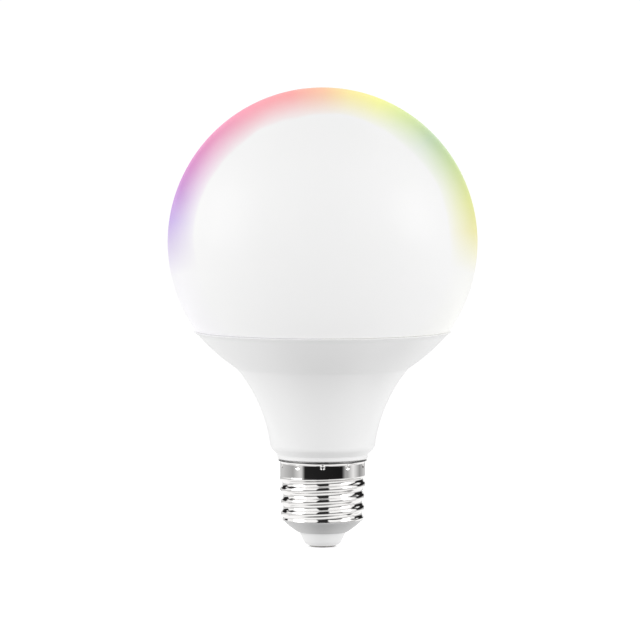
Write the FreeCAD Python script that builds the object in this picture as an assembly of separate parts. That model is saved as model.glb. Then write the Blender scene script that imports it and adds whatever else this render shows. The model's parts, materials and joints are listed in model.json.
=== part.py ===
"""Smart globe lamp with an E27 screw cap, as separate named pieces, one STEP file each.

The lamp stands on its contact: the origin is the centre of the contact's flat face, +Z runs up
the lamp's axis to the top of the globe, and -Y is the side that is looked at. Millimetres.

From the outside in: an opal plastic globe on a trumpet-shaped plastic housing, an aluminium cup
pressed inside the housing that takes the heat of the LED board, a driver board that stands in
the neck with the radio module at its top, and a nickel-plated cap punched onto the neck.
"""

import FreeCAD, Part
import math
import os

# ---------------------------------------------------------------- driving dimensions
GLOBE_RADIUS = 47.5  # a 95 mm globe
OVERALL_LENGTH = 141.0
GLOBE_CENTRE_Z = OVERALL_LENGTH - GLOBE_RADIUS
GLOBE_WALL = 1.0

# Outline of the housing: a shallow flare under the globe, then a trumpet down to the neck.
SEAM = (39.1, 66.3)
WAIST = (26.4, 54.9)
NECK_TOP = (16.05, 30.6)
FLARE_RADIUS = 57.0
TRUMPET_RADIUS = 47.4
WAIST_FILLET = 3.0
COLLAR_RADIUS = 13.9
COLLAR_TOP_Z = 28.4
HOUSING_WALL = 1.6
NECK_BORE = 10.25
NECK_FOOT_Z = 10.0
NECK_SLEEVE = 11.65  # inside the screw thread
NECK_SHOULDER = 12.65  # inside the plain skirt of the cap

# Snap joint between the globe and the housing.
SEAM_GAP = 0.15
TONGUE_INNER = 35.9
TONGUE_OUTER = 37.2
TONGUE_TOP_Z = 69.2
SNAP_BEAD = 0.4
SEAL_INNER = 37.5
SEAL_OUTER = 38.2
SEAL_DEPTH = 0.4

# E27 cap, 27 mm long, with the standard thread: two tangent arcs to each pitch, right-handed.
CAP_TOP_Z = 27.0
THREAD_PITCH = 3.629
THREAD_CREST = 13.15
THREAD_ROOT = 12.05
THREAD_CREST_Z = 8.5  # a crest crosses the +X side here
THREAD_FOOT_Z = 8.3
THREAD_TOP_Z = 22.2
THREAD_FOOT_FADE = 1.1
THREAD_TOP_FADE = 1.7
SKIRT_RADIUS = 13.05
SKIRT_FOOT_Z = 21.9
LIP_RADIUS = 13.6
LIP_FOOT_Z = 26.1
SHELL_WALL = 0.3
TAPER_TOP = (12.35, 8.6)
TAPER_TURN = (12.27, 8.2)  # on the rounded shoulder
TAPER_SHOULDER = (11.85, 7.85)
TAPER_MIDDLE = (9.7, 5.92)
TAPER_FOOT = (7.3, 4.2)
TAPER_INSET = (0.19, 0.24)  # wall thickness square to the cone
PUNCH_COUNT = 10
PUNCH_Z = 25.2
PUNCH_RADIUS = 0.8
PUNCH_DEPTH = 0.55

# Contact and insulator at the foot of the cap.
CONTACT_RADIUS = 4.1
CONTACT_THICKNESS = 0.55
STEM_RADIUS = 1.7
STEM_BORE = 0.9
STEM_TOP_Z = 7.2
INSULATOR_FLOOR_Z = 5.8
INSULATOR_TOP_Z = 8.3

# Heat sink cup, thermal pad and LED board.
CUP_WALL = 1.0
CUP_CLEARANCE = 0.1
CUP_LIP_Z = 64.0
CUP_FOOT_Z = 34.0
LEDGE_TOP_Z = 61.2
LEDGE_BORE = 23.6
PAD_THICKNESS = 0.3
BOARD_FOOT_Z = LEDGE_TOP_Z + PAD_THICKNESS
LED_BOARD_THICKNESS = 1.2
LED_BOARD_TOP_Z = BOARD_FOOT_Z + LED_BOARD_THICKNESS
LED_BOARD_RADIUS = 30.0
SLOT_HALF_WIDTH = 9.0
SLOT_FRONT_Y = -1.6
SLOT_BACK_Y = 4.6
SCREW_CIRCLE = 27.6
SCREW_COUNT = 3
SCREW_SHANK = 1.2
SCREW_HEAD = 2.25
SCREW_TIP_Z = 58.2
BOSS_RADIUS = 3.0
BOSS_TOP_Z = 60.15
WHITE_LED_COUNT = 24
WHITE_LED_CIRCLE = 23.6
WHITE_LED_SIZE = (3.5, 2.8, 0.75)
COLOUR_LED_COUNT = 8
COLOUR_LED_CIRCLE = 16.5
COLOUR_LED_SIZE = (5.0, 5.0, 1.5)

# Driver board: a plate in the XZ plane, narrow in the neck and wider above it.
DRIVER_HALF = 0.8
DRIVER_FOOT_Z = 11.6
DRIVER_TOP_Z = 58.3
DRIVER_STEPS = ((9.6, 31.6), (12.8, 33.2), (12.8, 45.6), (15.8, 46.9))  # half width, height
LEAD_RADIUS = 0.3
LEAD_HOLE = 0.45
LEAD_END_Y = 1.9
PIN_SPOTS = (-14.2, -12.2, -10.2, 10.2, 12.2, 14.2)
PIN_SIDE = 0.64
PIN_Y = -1.15
PIN_FOOT_Z = 54.8
PIN_TOP_Z = 64.0
GAP = 0.03  # between pieces that touch on the real lamp

# Components on the driver board: centre or corner positions, then sizes.
INPUT_CAPACITOR = {"x": 0.0, "y": -5.3, "z": 14.5, "radius": 4.0, "height": 14.5, "leads_up": True}
OUTPUT_CAPACITOR = {"x": -7.4, "y": -5.4, "z": 36.0, "radius": 4.0, "height": 10.4, "leads_up": False}
CAPACITOR_LEAD_PITCH = 3.5
CAPACITOR_LEAD_RISE = 1.6
FILM_CAPACITOR = {"x": (2.3, 10.2), "y": (-7.2, -1.2), "z": (35.5, 45.5)}
FILM_LEADS = ((6.2, 37.0), (6.2, 44.0))
VARISTOR = {"x": -11.4, "y": -3.2, "z": 50.8, "radius": 3.4, "thickness": 3.0}
SAFETY_CAPACITOR = {"x": -0.6, "y": -2.7, "z": 41.3, "radius": 2.5, "thickness": 2.4}
CHOKE = {"x": 11.4, "z": 50.8, "radius": 3.5, "near_y": -1.5, "far_y": -8.8}
DISC_LEAD_REACH = 2.5
FUSE = {"x": 5.0, "y": 4.2, "foot_z": 15.2, "top_z": 24.2, "radius": 1.4, "sleeve": 1.7}
TRANSFORMER = {"x": 0.0, "y": -6.5, "foot_z": 48.2, "top_z": 59.2}
TRANSFORMER_LEADS = ((-4.0, 47.2), (-1.5, 47.2), (1.5, 47.2), (4.0, 47.2))
RADIO = {"half_width": 8.0, "foot_z": 50.0, "top_z": 73.5, "near_y": 0.95, "far_y": 1.75}
RADIO_CAN = {"half_width": 6.0, "foot_z": 52.0, "top_z": 63.5, "height": 2.0}
SMALL_OUTLINES = ((-2.15, 2.75, 34.1, 37.9), (0.45, 5.35, 39.1, 42.9), (-11.5, -1.7, 39.1, 42.9))
CHIP_PART_SPOTS = tuple((x, 45.4) for x in (-5.2, -2.6, 0.0, 2.6)) + tuple(
    (x, z) for z in (12.9, 14.6) for x in (-7.2, -4.8, -2.4)
)

AXIS = FreeCAD.Vector(0, 0, 1)
ORIGIN = FreeCAD.Vector(0, 0, 0)


# ---------------------------------------------------------------- shape helpers
def turned(start, *steps):
    """A solid of revolution from (radius, height) points; a step holding two points is an arc
    through the first to the second."""
    edges = []
    here = start
    for step in steps + (start,):
        if isinstance(step[0], tuple):
            middle, end = step
            edges.append(Part.Arc(in_profile(here), in_profile(middle), in_profile(end)).toShape())
        else:
            end = step
            edges.append(Part.makeLine(in_profile(here), in_profile(end)))
        here = end
    return Part.Face(Part.Wire(edges)).revolve(ORIGIN, AXIS, 360)


def in_profile(point):
    return FreeCAD.Vector(point[0], 0, point[1])


def box(x, y, z):
    """A block between the two limits given on each axis."""
    return Part.makeBox(
        x[1] - x[0], y[1] - y[0], z[1] - z[0], FreeCAD.Vector(x[0], y[0], z[0])
    )


def rod(radius, start, end):
    """A straight round bar between two points."""
    run = FreeCAD.Vector(*end) - FreeCAD.Vector(*start)
    return Part.makeCylinder(radius, run.Length, FreeCAD.Vector(*start), run)


def bent_rod(points, radius, bend):
    """A round bar along straight runs, with every corner rounded to the bend radius."""
    corners = [FreeCAD.Vector(*p) for p in points]
    path = []
    here = corners[0]
    for corner, after in zip(corners[1:-1], corners[2:]):
        back = (here - corner).normalize()
        ahead = (after - corner).normalize()
        half_angle = back.getAngle(ahead) / 2
        reach = bend / math.tan(half_angle)
        inward = (back + ahead).normalize()
        middle = corner + inward * (bend / math.sin(half_angle) - bend)
        arc_end = corner + ahead * reach
        path.append(Part.makeLine(here, corner + back * reach))
        path.append(Part.Arc(corner + back * reach, middle, arc_end).toShape())
        here = arc_end
    path.append(Part.makeLine(here, corners[-1]))
    section = Part.Wire(Part.makeCircle(radius, corners[0], corners[1] - corners[0]))
    return Part.Wire(path).makePipeShell([section], True, False)


def around_axis(shape, angle):
    """A copy turned about the lamp's axis, in degrees from +X."""
    copy = shape.copy()
    copy.rotate(ORIGIN, AXIS, angle)
    return copy


def ring_of(shape, count, first_angle=0.0, step=None):
    """Copies of a shape made at +X, spread round the axis."""
    step = step or 360.0 / count
    return [around_axis(shape, first_angle + i * step) for i in range(count)]


def group(solids):
    return Part.makeCompound(solids)


def joined(first, others):
    return first.fuse(others).removeSplitter()


# ---------------------------------------------------------------- housing outline
def circle_centre(low, high, radius, side):
    """Centre of the circle of that radius through two profile points: side +1 is to the right
    of the way from low to high, away from the axis, and -1 to the left."""
    run_r, run_z = high[0] - low[0], high[1] - low[1]
    length = math.hypot(run_r, run_z)
    away = side * math.sqrt(radius**2 - (length / 2) ** 2) / length
    return (
        (low[0] + high[0]) / 2 + run_z * away,
        (low[1] + high[1]) / 2 - run_r * away,
    )


FLARE_CENTRE = circle_centre(WAIST, SEAM, FLARE_RADIUS, -1)
TRUMPET_CENTRE = circle_centre(NECK_TOP, WAIST, TRUMPET_RADIUS, 1)


def flare_r(z, inset=0.0):
    """Radius of the flare at a height, moved into the wall by inset."""
    return FLARE_CENTRE[0] + math.sqrt((FLARE_RADIUS - inset) ** 2 - (z - FLARE_CENTRE[1]) ** 2)


def trumpet_r(z, inset=0.0):
    reach = math.sqrt((TRUMPET_RADIUS + inset) ** 2 - (z - TRUMPET_CENTRE[1]) ** 2)
    return TRUMPET_CENTRE[0] - reach


def waist_z(inset):
    """Height where the flare and the trumpet cross when both are moved into the wall."""
    low, high = NECK_TOP[1], SEAM[1]
    while high - low > 1e-9:
        middle = (low + high) / 2
        if flare_r(middle, inset) < trumpet_r(middle, inset):
            low = middle
        else:
            high = middle
    return low


def arc_on(radius_at, z_from, z_to, inset=0.0):
    """A profile step along the flare or the trumpet, as an arc's middle and end."""
    z_middle = (z_from + z_to) / 2
    return ((radius_at(z_middle, inset), z_middle), (radius_at(z_to, inset), z_to))


def globe_r(z, wall=0.0):
    return math.sqrt((GLOBE_RADIUS - wall) ** 2 - (z - GLOBE_CENTRE_Z) ** 2)


# ---------------------------------------------------------------- globe, seal and housing
def make_globe():
    """Opal shell: a ball cut off at the seam, with a thicker rim that snaps over the tongue."""
    rim_z = SEAM[1] + SEAM_GAP
    rim_bore = TONGUE_OUTER + 0.15
    hook_z = 67.6
    wall_foot_z = hook_z + 0.3
    top = (0.0, OVERALL_LENGTH)
    inner_top = (0.0, OVERALL_LENGTH - GLOBE_WALL)
    edge = (globe_r(rim_z), rim_z)
    return turned(
        top,
        ((GLOBE_RADIUS, GLOBE_CENTRE_Z), edge),
        (rim_bore, rim_z),
        (rim_bore, hook_z),
        (globe_r(wall_foot_z, GLOBE_WALL), wall_foot_z),
        ((GLOBE_RADIUS - GLOBE_WALL, GLOBE_CENTRE_Z), inner_top),
    )


def make_seal():
    """Bead of silicone that glues the globe's rim into the groove of the housing's shoulder."""
    foot_z = SEAM[1] - SEAL_DEPTH + GAP
    top_z = SEAM[1] + SEAM_GAP - GAP
    low, high = SEAL_INNER + GAP, SEAL_OUTER - GAP
    return turned((low, foot_z), (high, foot_z), (high, top_z), (low, top_z))


def screw_spots():
    return [90.0 + i * 360.0 / SCREW_COUNT for i in range(SCREW_COUNT)]


def make_housing():
    """Trumpet of white plastic: tongue and shoulder at the top, guides and sleeve in the neck."""
    outer = turned(
        (0.0, SEAM[1]),
        (SEAM[0] - 0.15, SEAM[1]),
        (flare_r(SEAM[1] - 0.15), SEAM[1] - 0.15),
        arc_on(flare_r, SEAM[1] - 0.15, WAIST[1]),
        arc_on(trumpet_r, WAIST[1], NECK_TOP[1]),
        (COLLAR_RADIUS, COLLAR_TOP_Z),
        (COLLAR_RADIUS, CAP_TOP_Z + 0.15),
        (NECK_SHOULDER, CAP_TOP_Z + 0.15),
        (NECK_SHOULDER, SKIRT_FOOT_Z + 0.3),
        (NECK_SLEEVE, SKIRT_FOOT_Z - 0.3),
        (NECK_SLEEVE, NECK_FOOT_Z),
        (0.0, NECK_FOOT_Z),
    )
    waist_edge = [
        e
        for e in outer.Edges
        if isinstance(e.Curve, Part.Circle)
        and abs(e.Curve.Radius - WAIST[0]) < 0.01
        and abs(e.Curve.Center.z - WAIST[1]) < 0.01
    ]
    outer = outer.makeFillet(WAIST_FILLET, waist_edge)
    inner_waist_z = waist_z(HOUSING_WALL)
    tongue_foot_z = 65.0
    cavity = turned(
        (0.0, NECK_FOOT_Z - 1),
        (NECK_BORE, NECK_FOOT_Z - 1),
        (NECK_BORE, NECK_TOP[1] - 0.6),
        (14.4, NECK_TOP[1] + 0.3),
        (trumpet_r(NECK_TOP[1] + 1.2, HOUSING_WALL), NECK_TOP[1] + 1.2),
        arc_on(trumpet_r, NECK_TOP[1] + 1.2, inner_waist_z, HOUSING_WALL),
        arc_on(flare_r, inner_waist_z, tongue_foot_z, HOUSING_WALL),
        (TONGUE_INNER, tongue_foot_z + 0.3),
        (TONGUE_INNER, SEAM[1] + 1),
        (0.0, SEAM[1] + 1),
    )
    tongue = turned(
        (TONGUE_INNER, SEAM[1] - 0.3),
        (TONGUE_OUTER, SEAM[1] - 0.3),
        (TONGUE_OUTER, TONGUE_TOP_Z - 1.2),
        (TONGUE_OUTER + SNAP_BEAD, TONGUE_TOP_Z - 0.8),
        (TONGUE_OUTER + SNAP_BEAD, TONGUE_TOP_Z - 0.5),
        (TONGUE_OUTER, TONGUE_TOP_Z),
        (TONGUE_INNER, TONGUE_TOP_Z),
    )
    groove_foot_z = SEAM[1] - SEAL_DEPTH
    groove = turned(
        (SEAL_INNER, groove_foot_z),
        (SEAL_OUTER, groove_foot_z),
        (SEAL_OUTER, SEAM[1] + 1),
        (SEAL_INNER, SEAM[1] + 1),
    )
    boss = Part.makeCylinder(BOSS_RADIUS, 5, FreeCAD.Vector(SCREW_CIRCLE, 0, BOSS_TOP_Z - 5), AXIS)
    bosses = [b.common(outer) for b in ring_of(boss, SCREW_COUNT, screw_spots()[0])]
    pilot = rod(SCREW_SHANK + 0.05, (SCREW_CIRCLE, 0, SCREW_TIP_Z - 0.3), (SCREW_CIRCLE, 0, 61))
    guides = [
        box(x, y, (NECK_FOOT_Z, NECK_TOP[1] - 0.8))
        for x in ((-10.6, -8.4), (8.4, 10.6))
        for y in ((DRIVER_HALF + 0.05, DRIVER_HALF + 1.05), (-DRIVER_HALF - 1.05, -DRIVER_HALF - 0.05))
    ]
    wire_slot = box((-0.7, 0.7), (10.55, 14), (NECK_FOOT_Z - 0.1, SKIRT_FOOT_Z - 0.4))
    body = joined(outer.cut([cavity, groove]), [tongue] + bosses + guides)
    pockets = ring_of(punch_cone(NECK_SHOULDER + 0.15, PUNCH_RADIUS + 0.3), PUNCH_COUNT, -90.0)
    return body.cut(ring_of(pilot, SCREW_COUNT, screw_spots()[0]) + [wire_slot] + pockets)


# ---------------------------------------------------------------- cap
def thread_r(angle, z, root, crest):
    """Radius of the rounded E27 profile: arcs of one radius, a crest and a root to each pitch."""
    half = THREAD_PITCH / 2
    depth = crest - root
    arc = (half**2 + depth**2) / (4 * depth)
    turn = (z - THREAD_CREST_Z) / THREAD_PITCH - angle / (2 * math.pi)
    from_crest = abs(turn - round(turn)) * THREAD_PITCH
    if from_crest < half / 2:
        return crest - arc + math.sqrt(arc**2 - from_crest**2)
    return root + arc - math.sqrt(arc**2 - (half - from_crest) ** 2)


def run_out(z):
    """Share of the full thread at a height: it fades to a plain tube at both ends."""
    from_foot = (z - THREAD_FOOT_Z) / THREAD_FOOT_FADE
    from_top = (THREAD_TOP_Z - 0.4 - z) / THREAD_TOP_FADE
    share = min(max(min(from_foot, from_top), 0.0), 1.0)
    return share * share * (3 - 2 * share)


def threaded_plug(inset):
    """A solid whose side is the thread, moved inwards by inset, with a plain circle at each end."""
    around, rise = 48, THREAD_PITCH / 18
    rows = round((THREAD_TOP_Z - THREAD_FOOT_Z) / rise)
    hull = 3 / (2 + math.cos(2 * math.pi / around))  # a cubic spline runs inside its poles
    poles = []
    for i in range(around):
        angle = 2 * math.pi * i / around
        column = []
        for j in range(rows + 1):
            z = THREAD_FOOT_Z + (THREAD_TOP_Z - THREAD_FOOT_Z) * j / rows
            upper = (z - THREAD_FOOT_Z) / (THREAD_TOP_Z - THREAD_FOOT_Z)
            plain = TAPER_TOP[0] + (SKIRT_RADIUS - TAPER_TOP[0]) * min(max(2 * upper - 0.5, 0), 1)
            share = run_out(z)
            cut = thread_r(angle, z, THREAD_ROOT, THREAD_CREST)
            radius = (share * cut + (1 - share) * plain - inset) * hull
            column.append(FreeCAD.Vector(radius * math.cos(angle), radius * math.sin(angle), z))
        poles.append(column)
    side = Part.BSplineSurface()
    side.buildFromPolesMultsKnots(
        poles,
        [1] * (around + 1),
        [4] + [1] * (rows - 3) + [4],
        list(range(around + 1)),
        list(range(rows - 1)),
        True,
        False,
        3,
        3,
    )
    wall = side.toShape()
    ends = [Part.Face(Part.Wire([e])) for e in wall.Edges if e.Closed]
    shell = Part.makeShell([wall] + ends)
    shell.sewShape()
    return Part.Solid(shell)


def punch_cone(from_radius, width):
    """One crimping punch, pointing at the axis from the front of the skirt, built at +X."""
    start = FreeCAD.Vector(from_radius, 0, PUNCH_Z)
    return Part.makeCone(width, 0.1, PUNCH_DEPTH + 0.08, start, FreeCAD.Vector(-1, 0, 0))


def inside_taper(point, gap=0.0):
    """A point of the taper moved through the sheet to its inner side, and further by a gap."""
    share = 1 + gap / math.hypot(*TAPER_INSET)
    return (point[0] - share * TAPER_INSET[0], point[1] + share * TAPER_INSET[1])


def make_cap_shell():
    """Thin metal screw shell: flared lip, plain skirt with punches, rolled thread, tapered foot."""
    skirt = turned(
        (SKIRT_RADIUS - SHELL_WALL, SKIRT_FOOT_Z),
        (SKIRT_RADIUS, SKIRT_FOOT_Z),
        (SKIRT_RADIUS, LIP_FOOT_Z),
        ((SKIRT_RADIUS + 0.12, LIP_FOOT_Z + 0.42), (LIP_RADIUS, CAP_TOP_Z - 0.25)),
        (LIP_RADIUS - 0.12, CAP_TOP_Z),
        ((SKIRT_RADIUS - 0.17, LIP_FOOT_Z + 0.6), (SKIRT_RADIUS - SHELL_WALL, LIP_FOOT_Z)),
    )
    taper = turned(
        (TAPER_TOP[0] - 0.32, TAPER_TOP[1]),
        TAPER_TOP,
        (TAPER_TURN, TAPER_SHOULDER),
        (TAPER_MIDDLE, TAPER_FOOT),
        inside_taper(TAPER_FOOT),
        (inside_taper(TAPER_MIDDLE), inside_taper(TAPER_SHOULDER)),
    )
    tube = threaded_plug(0.02).cut(threaded_plug(SHELL_WALL - 0.05))
    shell = joined(skirt, [tube, taper])
    bumps = ring_of(punch_cone(SKIRT_RADIUS - SHELL_WALL + 0.05, PUNCH_RADIUS + 0.1), PUNCH_COUNT, -90.0)
    dents = ring_of(punch_cone(SKIRT_RADIUS + 0.08, PUNCH_RADIUS), PUNCH_COUNT, -90.0)
    return shell.fuse(bumps).cut(dents)


def make_insulator():
    """Plastic cone between the shell and the contact, with a cup inside that clears the wires."""
    foot_z = CONTACT_THICKNESS + GAP
    return turned(
        (STEM_RADIUS + GAP, foot_z),
        (4.6, foot_z),
        ((5.45, 1.15), (6.0, 2.0)),
        (6.95, TAPER_FOOT[1] - 0.1),
        inside_taper(TAPER_FOOT, 0.06),
        (inside_taper(TAPER_MIDDLE, 0.06), inside_taper(TAPER_SHOULDER, 0.06)),
        (TAPER_TOP[0] - 0.85, INSULATOR_TOP_Z),
        (10.3, INSULATOR_TOP_Z),
        (10.3, INSULATOR_FLOOR_Z + 1.9),
        (8.0, INSULATOR_FLOOR_Z),
        (3.2, INSULATOR_FLOOR_Z),
        (3.2, 6.4),
        (STEM_RADIUS + GAP, 6.4),
    )


def make_contact():
    """Brass contact: a flat button with a rounded edge on a hollow stem, riveted at the top."""
    return turned(
        (0.0, 0.0),
        (CONTACT_RADIUS - 0.4, 0.0),
        ((CONTACT_RADIUS - 0.12, 0.12), (CONTACT_RADIUS, 0.4)),
        (CONTACT_RADIUS, CONTACT_THICKNESS),
        (STEM_RADIUS, CONTACT_THICKNESS),
        (STEM_RADIUS, 6.4 + GAP),
        (2.4, 6.5),
        ((2.35, 6.85), (1.9, STEM_TOP_Z)),
        (STEM_BORE, STEM_TOP_Z),
        (STEM_BORE, 1.2),
        (0.0, 1.2),
    )


# ---------------------------------------------------------------- heat sink and LED board
def make_heat_sink_cup():
    """Drawn aluminium funnel: a lip, a ledge for the LED board, then a wall down the trumpet."""
    outside = HOUSING_WALL + CUP_CLEARANCE
    inside = outside + CUP_WALL
    under_z = LEDGE_TOP_Z - CUP_WALL
    wall_r = LEDGE_BORE + CUP_WALL

    def trumpet_z(radius, inset):
        reach = TRUMPET_CENTRE[0] - radius
        return TRUMPET_CENTRE[1] + math.sqrt((TRUMPET_RADIUS + inset) ** 2 - reach**2)

    outer_turn_z = trumpet_z(wall_r, outside)
    inner_turn_z = trumpet_z(LEDGE_BORE, inside)
    cup = turned(
        (flare_r(CUP_LIP_Z, outside), CUP_LIP_Z),
        arc_on(flare_r, CUP_LIP_Z, under_z, outside),
        (wall_r, under_z),
        (wall_r, outer_turn_z),
        arc_on(trumpet_r, outer_turn_z, CUP_FOOT_Z, outside),
        (trumpet_r(CUP_FOOT_Z, inside), CUP_FOOT_Z),
        arc_on(trumpet_r, CUP_FOOT_Z, inner_turn_z, inside),
        (LEDGE_BORE, LEDGE_TOP_Z),
        (flare_r(LEDGE_TOP_Z, inside), LEDGE_TOP_Z),
        arc_on(flare_r, LEDGE_TOP_Z, CUP_LIP_Z, inside),
    )
    return cup.cut(screw_holes(SCREW_SHANK + 0.1))


def screw_holes(radius):
    hole = rod(radius, (SCREW_CIRCLE, 0, 55), (SCREW_CIRCLE, 0, 70))
    return ring_of(hole, SCREW_COUNT, screw_spots()[0])


def make_thermal_pad():
    """Soft ring that carries heat from the LED board into the ledge of the cup."""
    low_r, high_r = LEDGE_BORE + 0.8, LED_BOARD_RADIUS - 0.4
    foot_z, top_z = LEDGE_TOP_Z, BOARD_FOOT_Z
    pad = turned((low_r, foot_z), (high_r, foot_z), (high_r, top_z), (low_r, top_z))
    return pad.cut(screw_holes(SCREW_SHANK + 0.3))


def make_led_board():
    """Aluminium disc with a slot for the radio module, screw holes and holes for the link pins."""
    board = Part.makeCylinder(
        LED_BOARD_RADIUS, LED_BOARD_THICKNESS, FreeCAD.Vector(0, 0, BOARD_FOOT_Z), AXIS
    )
    slot = box((-SLOT_HALF_WIDTH, SLOT_HALF_WIDTH), (SLOT_FRONT_Y, SLOT_BACK_Y), (60, 65))
    pin_holes = [rod(0.6, (x, PIN_Y, 60), (x, PIN_Y, 65)) for x in PIN_SPOTS]
    return board.cut([slot] + pin_holes + screw_holes(SCREW_SHANK + 0.2))


def led_package(size, circle, window):
    """One LED case at +X on its circle, with the window cut out, and the piece that fills it."""
    long, wide, tall = size
    case = box((circle - long / 2, circle + long / 2), (-wide / 2, wide / 2), (0, tall))
    case.translate(FreeCAD.Vector(0, 0, LED_BOARD_TOP_Z))
    window.translate(FreeCAD.Vector(circle, 0, LED_BOARD_TOP_Z + tall))
    return case.cut(window), window


def white_leds():
    """Cases, then the cool and the warm windows, which take turns round the circle."""
    case, window = led_package(
        WHITE_LED_SIZE, WHITE_LED_CIRCLE, box((-1.4, 1.4), (-1.05, 1.05), (-0.2, 0.0))
    )
    step = 360.0 / WHITE_LED_COUNT
    half = WHITE_LED_COUNT // 2
    return (
        group(ring_of(case, WHITE_LED_COUNT, step / 2)),
        group(ring_of(window, half, step / 2)),
        group(ring_of(window, half, step * 1.5)),
    )


def colour_leds():
    case, window = led_package(
        COLOUR_LED_SIZE,
        COLOUR_LED_CIRCLE,
        Part.makeCylinder(1.85, 0.3, FreeCAD.Vector(0, 0, -0.3), AXIS),
    )
    first = 180.0 / COLOUR_LED_COUNT
    return (
        group(ring_of(case, COLOUR_LED_COUNT, first)),
        group(ring_of(window, COLOUR_LED_COUNT, first)),
    )


def make_screws():
    """Pan-head screws that clamp the LED board and the pad to the ledge of the cup."""
    head_z = LED_BOARD_TOP_Z
    screw = turned(
        (0.0, SCREW_TIP_Z),
        (SCREW_SHANK, SCREW_TIP_Z + 0.8),
        (SCREW_SHANK, head_z),
        (SCREW_HEAD, head_z),
        (SCREW_HEAD, head_z + 0.8),
        ((SCREW_HEAD - 0.55, head_z + 1.35), (0.0, head_z + 1.5)),
    )
    arms = [
        box((-1.2, 1.2), (-0.25, 0.25), (head_z + 0.6, head_z + 2)),
        box((-0.25, 0.25), (-1.2, 1.2), (head_z + 0.6, head_z + 2)),
    ]
    screw = screw.cut(arms)
    screw.translate(FreeCAD.Vector(SCREW_CIRCLE, 0, 0))
    return group(ring_of(screw, SCREW_COUNT, screw_spots()[0]))


# ---------------------------------------------------------------- driver board
def capacitor_lead_spots(part):
    z = part["z"] + part["height"] + CAPACITOR_LEAD_RISE
    if not part["leads_up"]:
        z = part["z"] - CAPACITOR_LEAD_RISE
    return [(part["x"] + side * CAPACITOR_LEAD_PITCH / 2, z) for side in (-1, 1)]


def straight_lead_spots():
    """Where leads run straight into the board, with the front face of each part they leave."""
    spots = [(x, z, FILM_CAPACITOR["y"][1]) for x, z in FILM_LEADS]
    spots += [(x, z, -2.6) for x, z in TRANSFORMER_LEADS]
    for side in (-1, 1):
        reach = side * DISC_LEAD_REACH
        spots.append((VARISTOR["x"] + reach, VARISTOR["z"], VARISTOR["y"] + VARISTOR["thickness"] / 2))
        spots.append((CHOKE["x"] + reach, CHOKE["z"], CHOKE["near_y"]))
        safety_face = SAFETY_CAPACITOR["y"] + SAFETY_CAPACITOR["thickness"] / 2
        spots.append((SAFETY_CAPACITOR["x"], SAFETY_CAPACITOR["z"] + side * 1.7, safety_face))
    return spots


def fuse_lead_spots():
    return [(FUSE["x"], FUSE["foot_z"] - 1.6), (FUSE["x"], FUSE["top_z"] + 1.6)]


def front_lead_spots():
    """Every lead that comes from the front and ends behind the board."""
    spots = [(x, z) for x, z, _ in straight_lead_spots()]
    return spots + capacitor_lead_spots(INPUT_CAPACITOR) + capacitor_lead_spots(OUTPUT_CAPACITOR)


def make_driver_board():
    """Glass-fibre plate, cut narrow for the neck, with a hole for every lead."""
    right = [(DRIVER_STEPS[0][0], DRIVER_FOOT_Z)] + list(DRIVER_STEPS)
    right.append((DRIVER_STEPS[-1][0], DRIVER_TOP_Z))
    outline = right + [(-x, z) for x, z in reversed(right)]
    corners = [FreeCAD.Vector(x, -DRIVER_HALF, z) for x, z in outline]
    plate = Part.Face(Part.makePolygon(corners + corners[:1]))
    plate = plate.extrude(FreeCAD.Vector(0, 2 * DRIVER_HALF, 0))
    holes = [rod(LEAD_HOLE, (x, -2, z), (x, 2, z)) for x, z in front_lead_spots() + fuse_lead_spots()]
    return plate.cut(holes)


def make_leads():
    """Tinned leads of all the parts that are soldered through the board."""
    leads = [rod(LEAD_RADIUS, (x, y + GAP, z), (x, LEAD_END_Y, z)) for x, z, y in straight_lead_spots()]
    for part in (INPUT_CAPACITOR, OUTPUT_CAPACITOR):
        start_z = part["z"] + part["height"] + GAP if part["leads_up"] else part["z"] - GAP
        for x, z in capacitor_lead_spots(part):
            path = ((x, part["y"], start_z), (x, part["y"], z), (x, LEAD_END_Y, z))
            leads.append(bent_rod(path, LEAD_RADIUS, 0.8))
    for (x, z), start_z in zip(fuse_lead_spots(), (FUSE["foot_z"] - GAP, FUSE["top_z"] + GAP)):
        path = ((x, FUSE["y"], start_z), (x, FUSE["y"], z), (x, -LEAD_END_Y, z))
        leads.append(bent_rod(path, LEAD_RADIUS, 0.8))
    return group(leads)


def make_solder():
    """Cones of solder round the leads and the link pins."""
    joints = []
    for side, spots in ((1, front_lead_spots()), (-1, fuse_lead_spots())):
        for x, z in spots:
            foot = FreeCAD.Vector(x, side * (DRIVER_HALF + GAP), z)
            cone = Part.makeCone(0.8, 0.42, 0.8, foot, FreeCAD.Vector(0, side, 0))
            joints.append(cone.cut(rod(LEAD_RADIUS + GAP, (x, -3, z), (x, 3, z))))
    for x in PIN_SPOTS:
        foot = FreeCAD.Vector(x, PIN_Y, LED_BOARD_TOP_Z + GAP)
        cone = Part.makeCone(0.95, 0.55, 0.8, foot, AXIS)
        joints.append(cone.cut(pin_block(x, PIN_SIDE / 2 + GAP, 60, 66)))
    return group(joints)


def pin_block(x, half, foot_z, top_z):
    return box((x - half, x + half), (PIN_Y - half, PIN_Y + half), (foot_z, top_z))


def make_link_pins():
    """Square pins that carry the LED board's supply and its five colour channels."""
    return group([pin_block(x, PIN_SIDE / 2, PIN_FOOT_Z, PIN_TOP_Z) for x in PIN_SPOTS])


def make_link_headers():
    """Plastic bars that hold three link pins each."""
    headers = []
    for first in (-15.3, 9.1):
        bar = box((first, first + 6.2), (-2.2, -DRIVER_HALF - GAP), (55.6, 58.0))
        headers.append(bar.cut([pin_block(x, PIN_SIDE / 2 + GAP, 50, 60) for x in PIN_SPOTS]))
    return group(headers)


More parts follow.
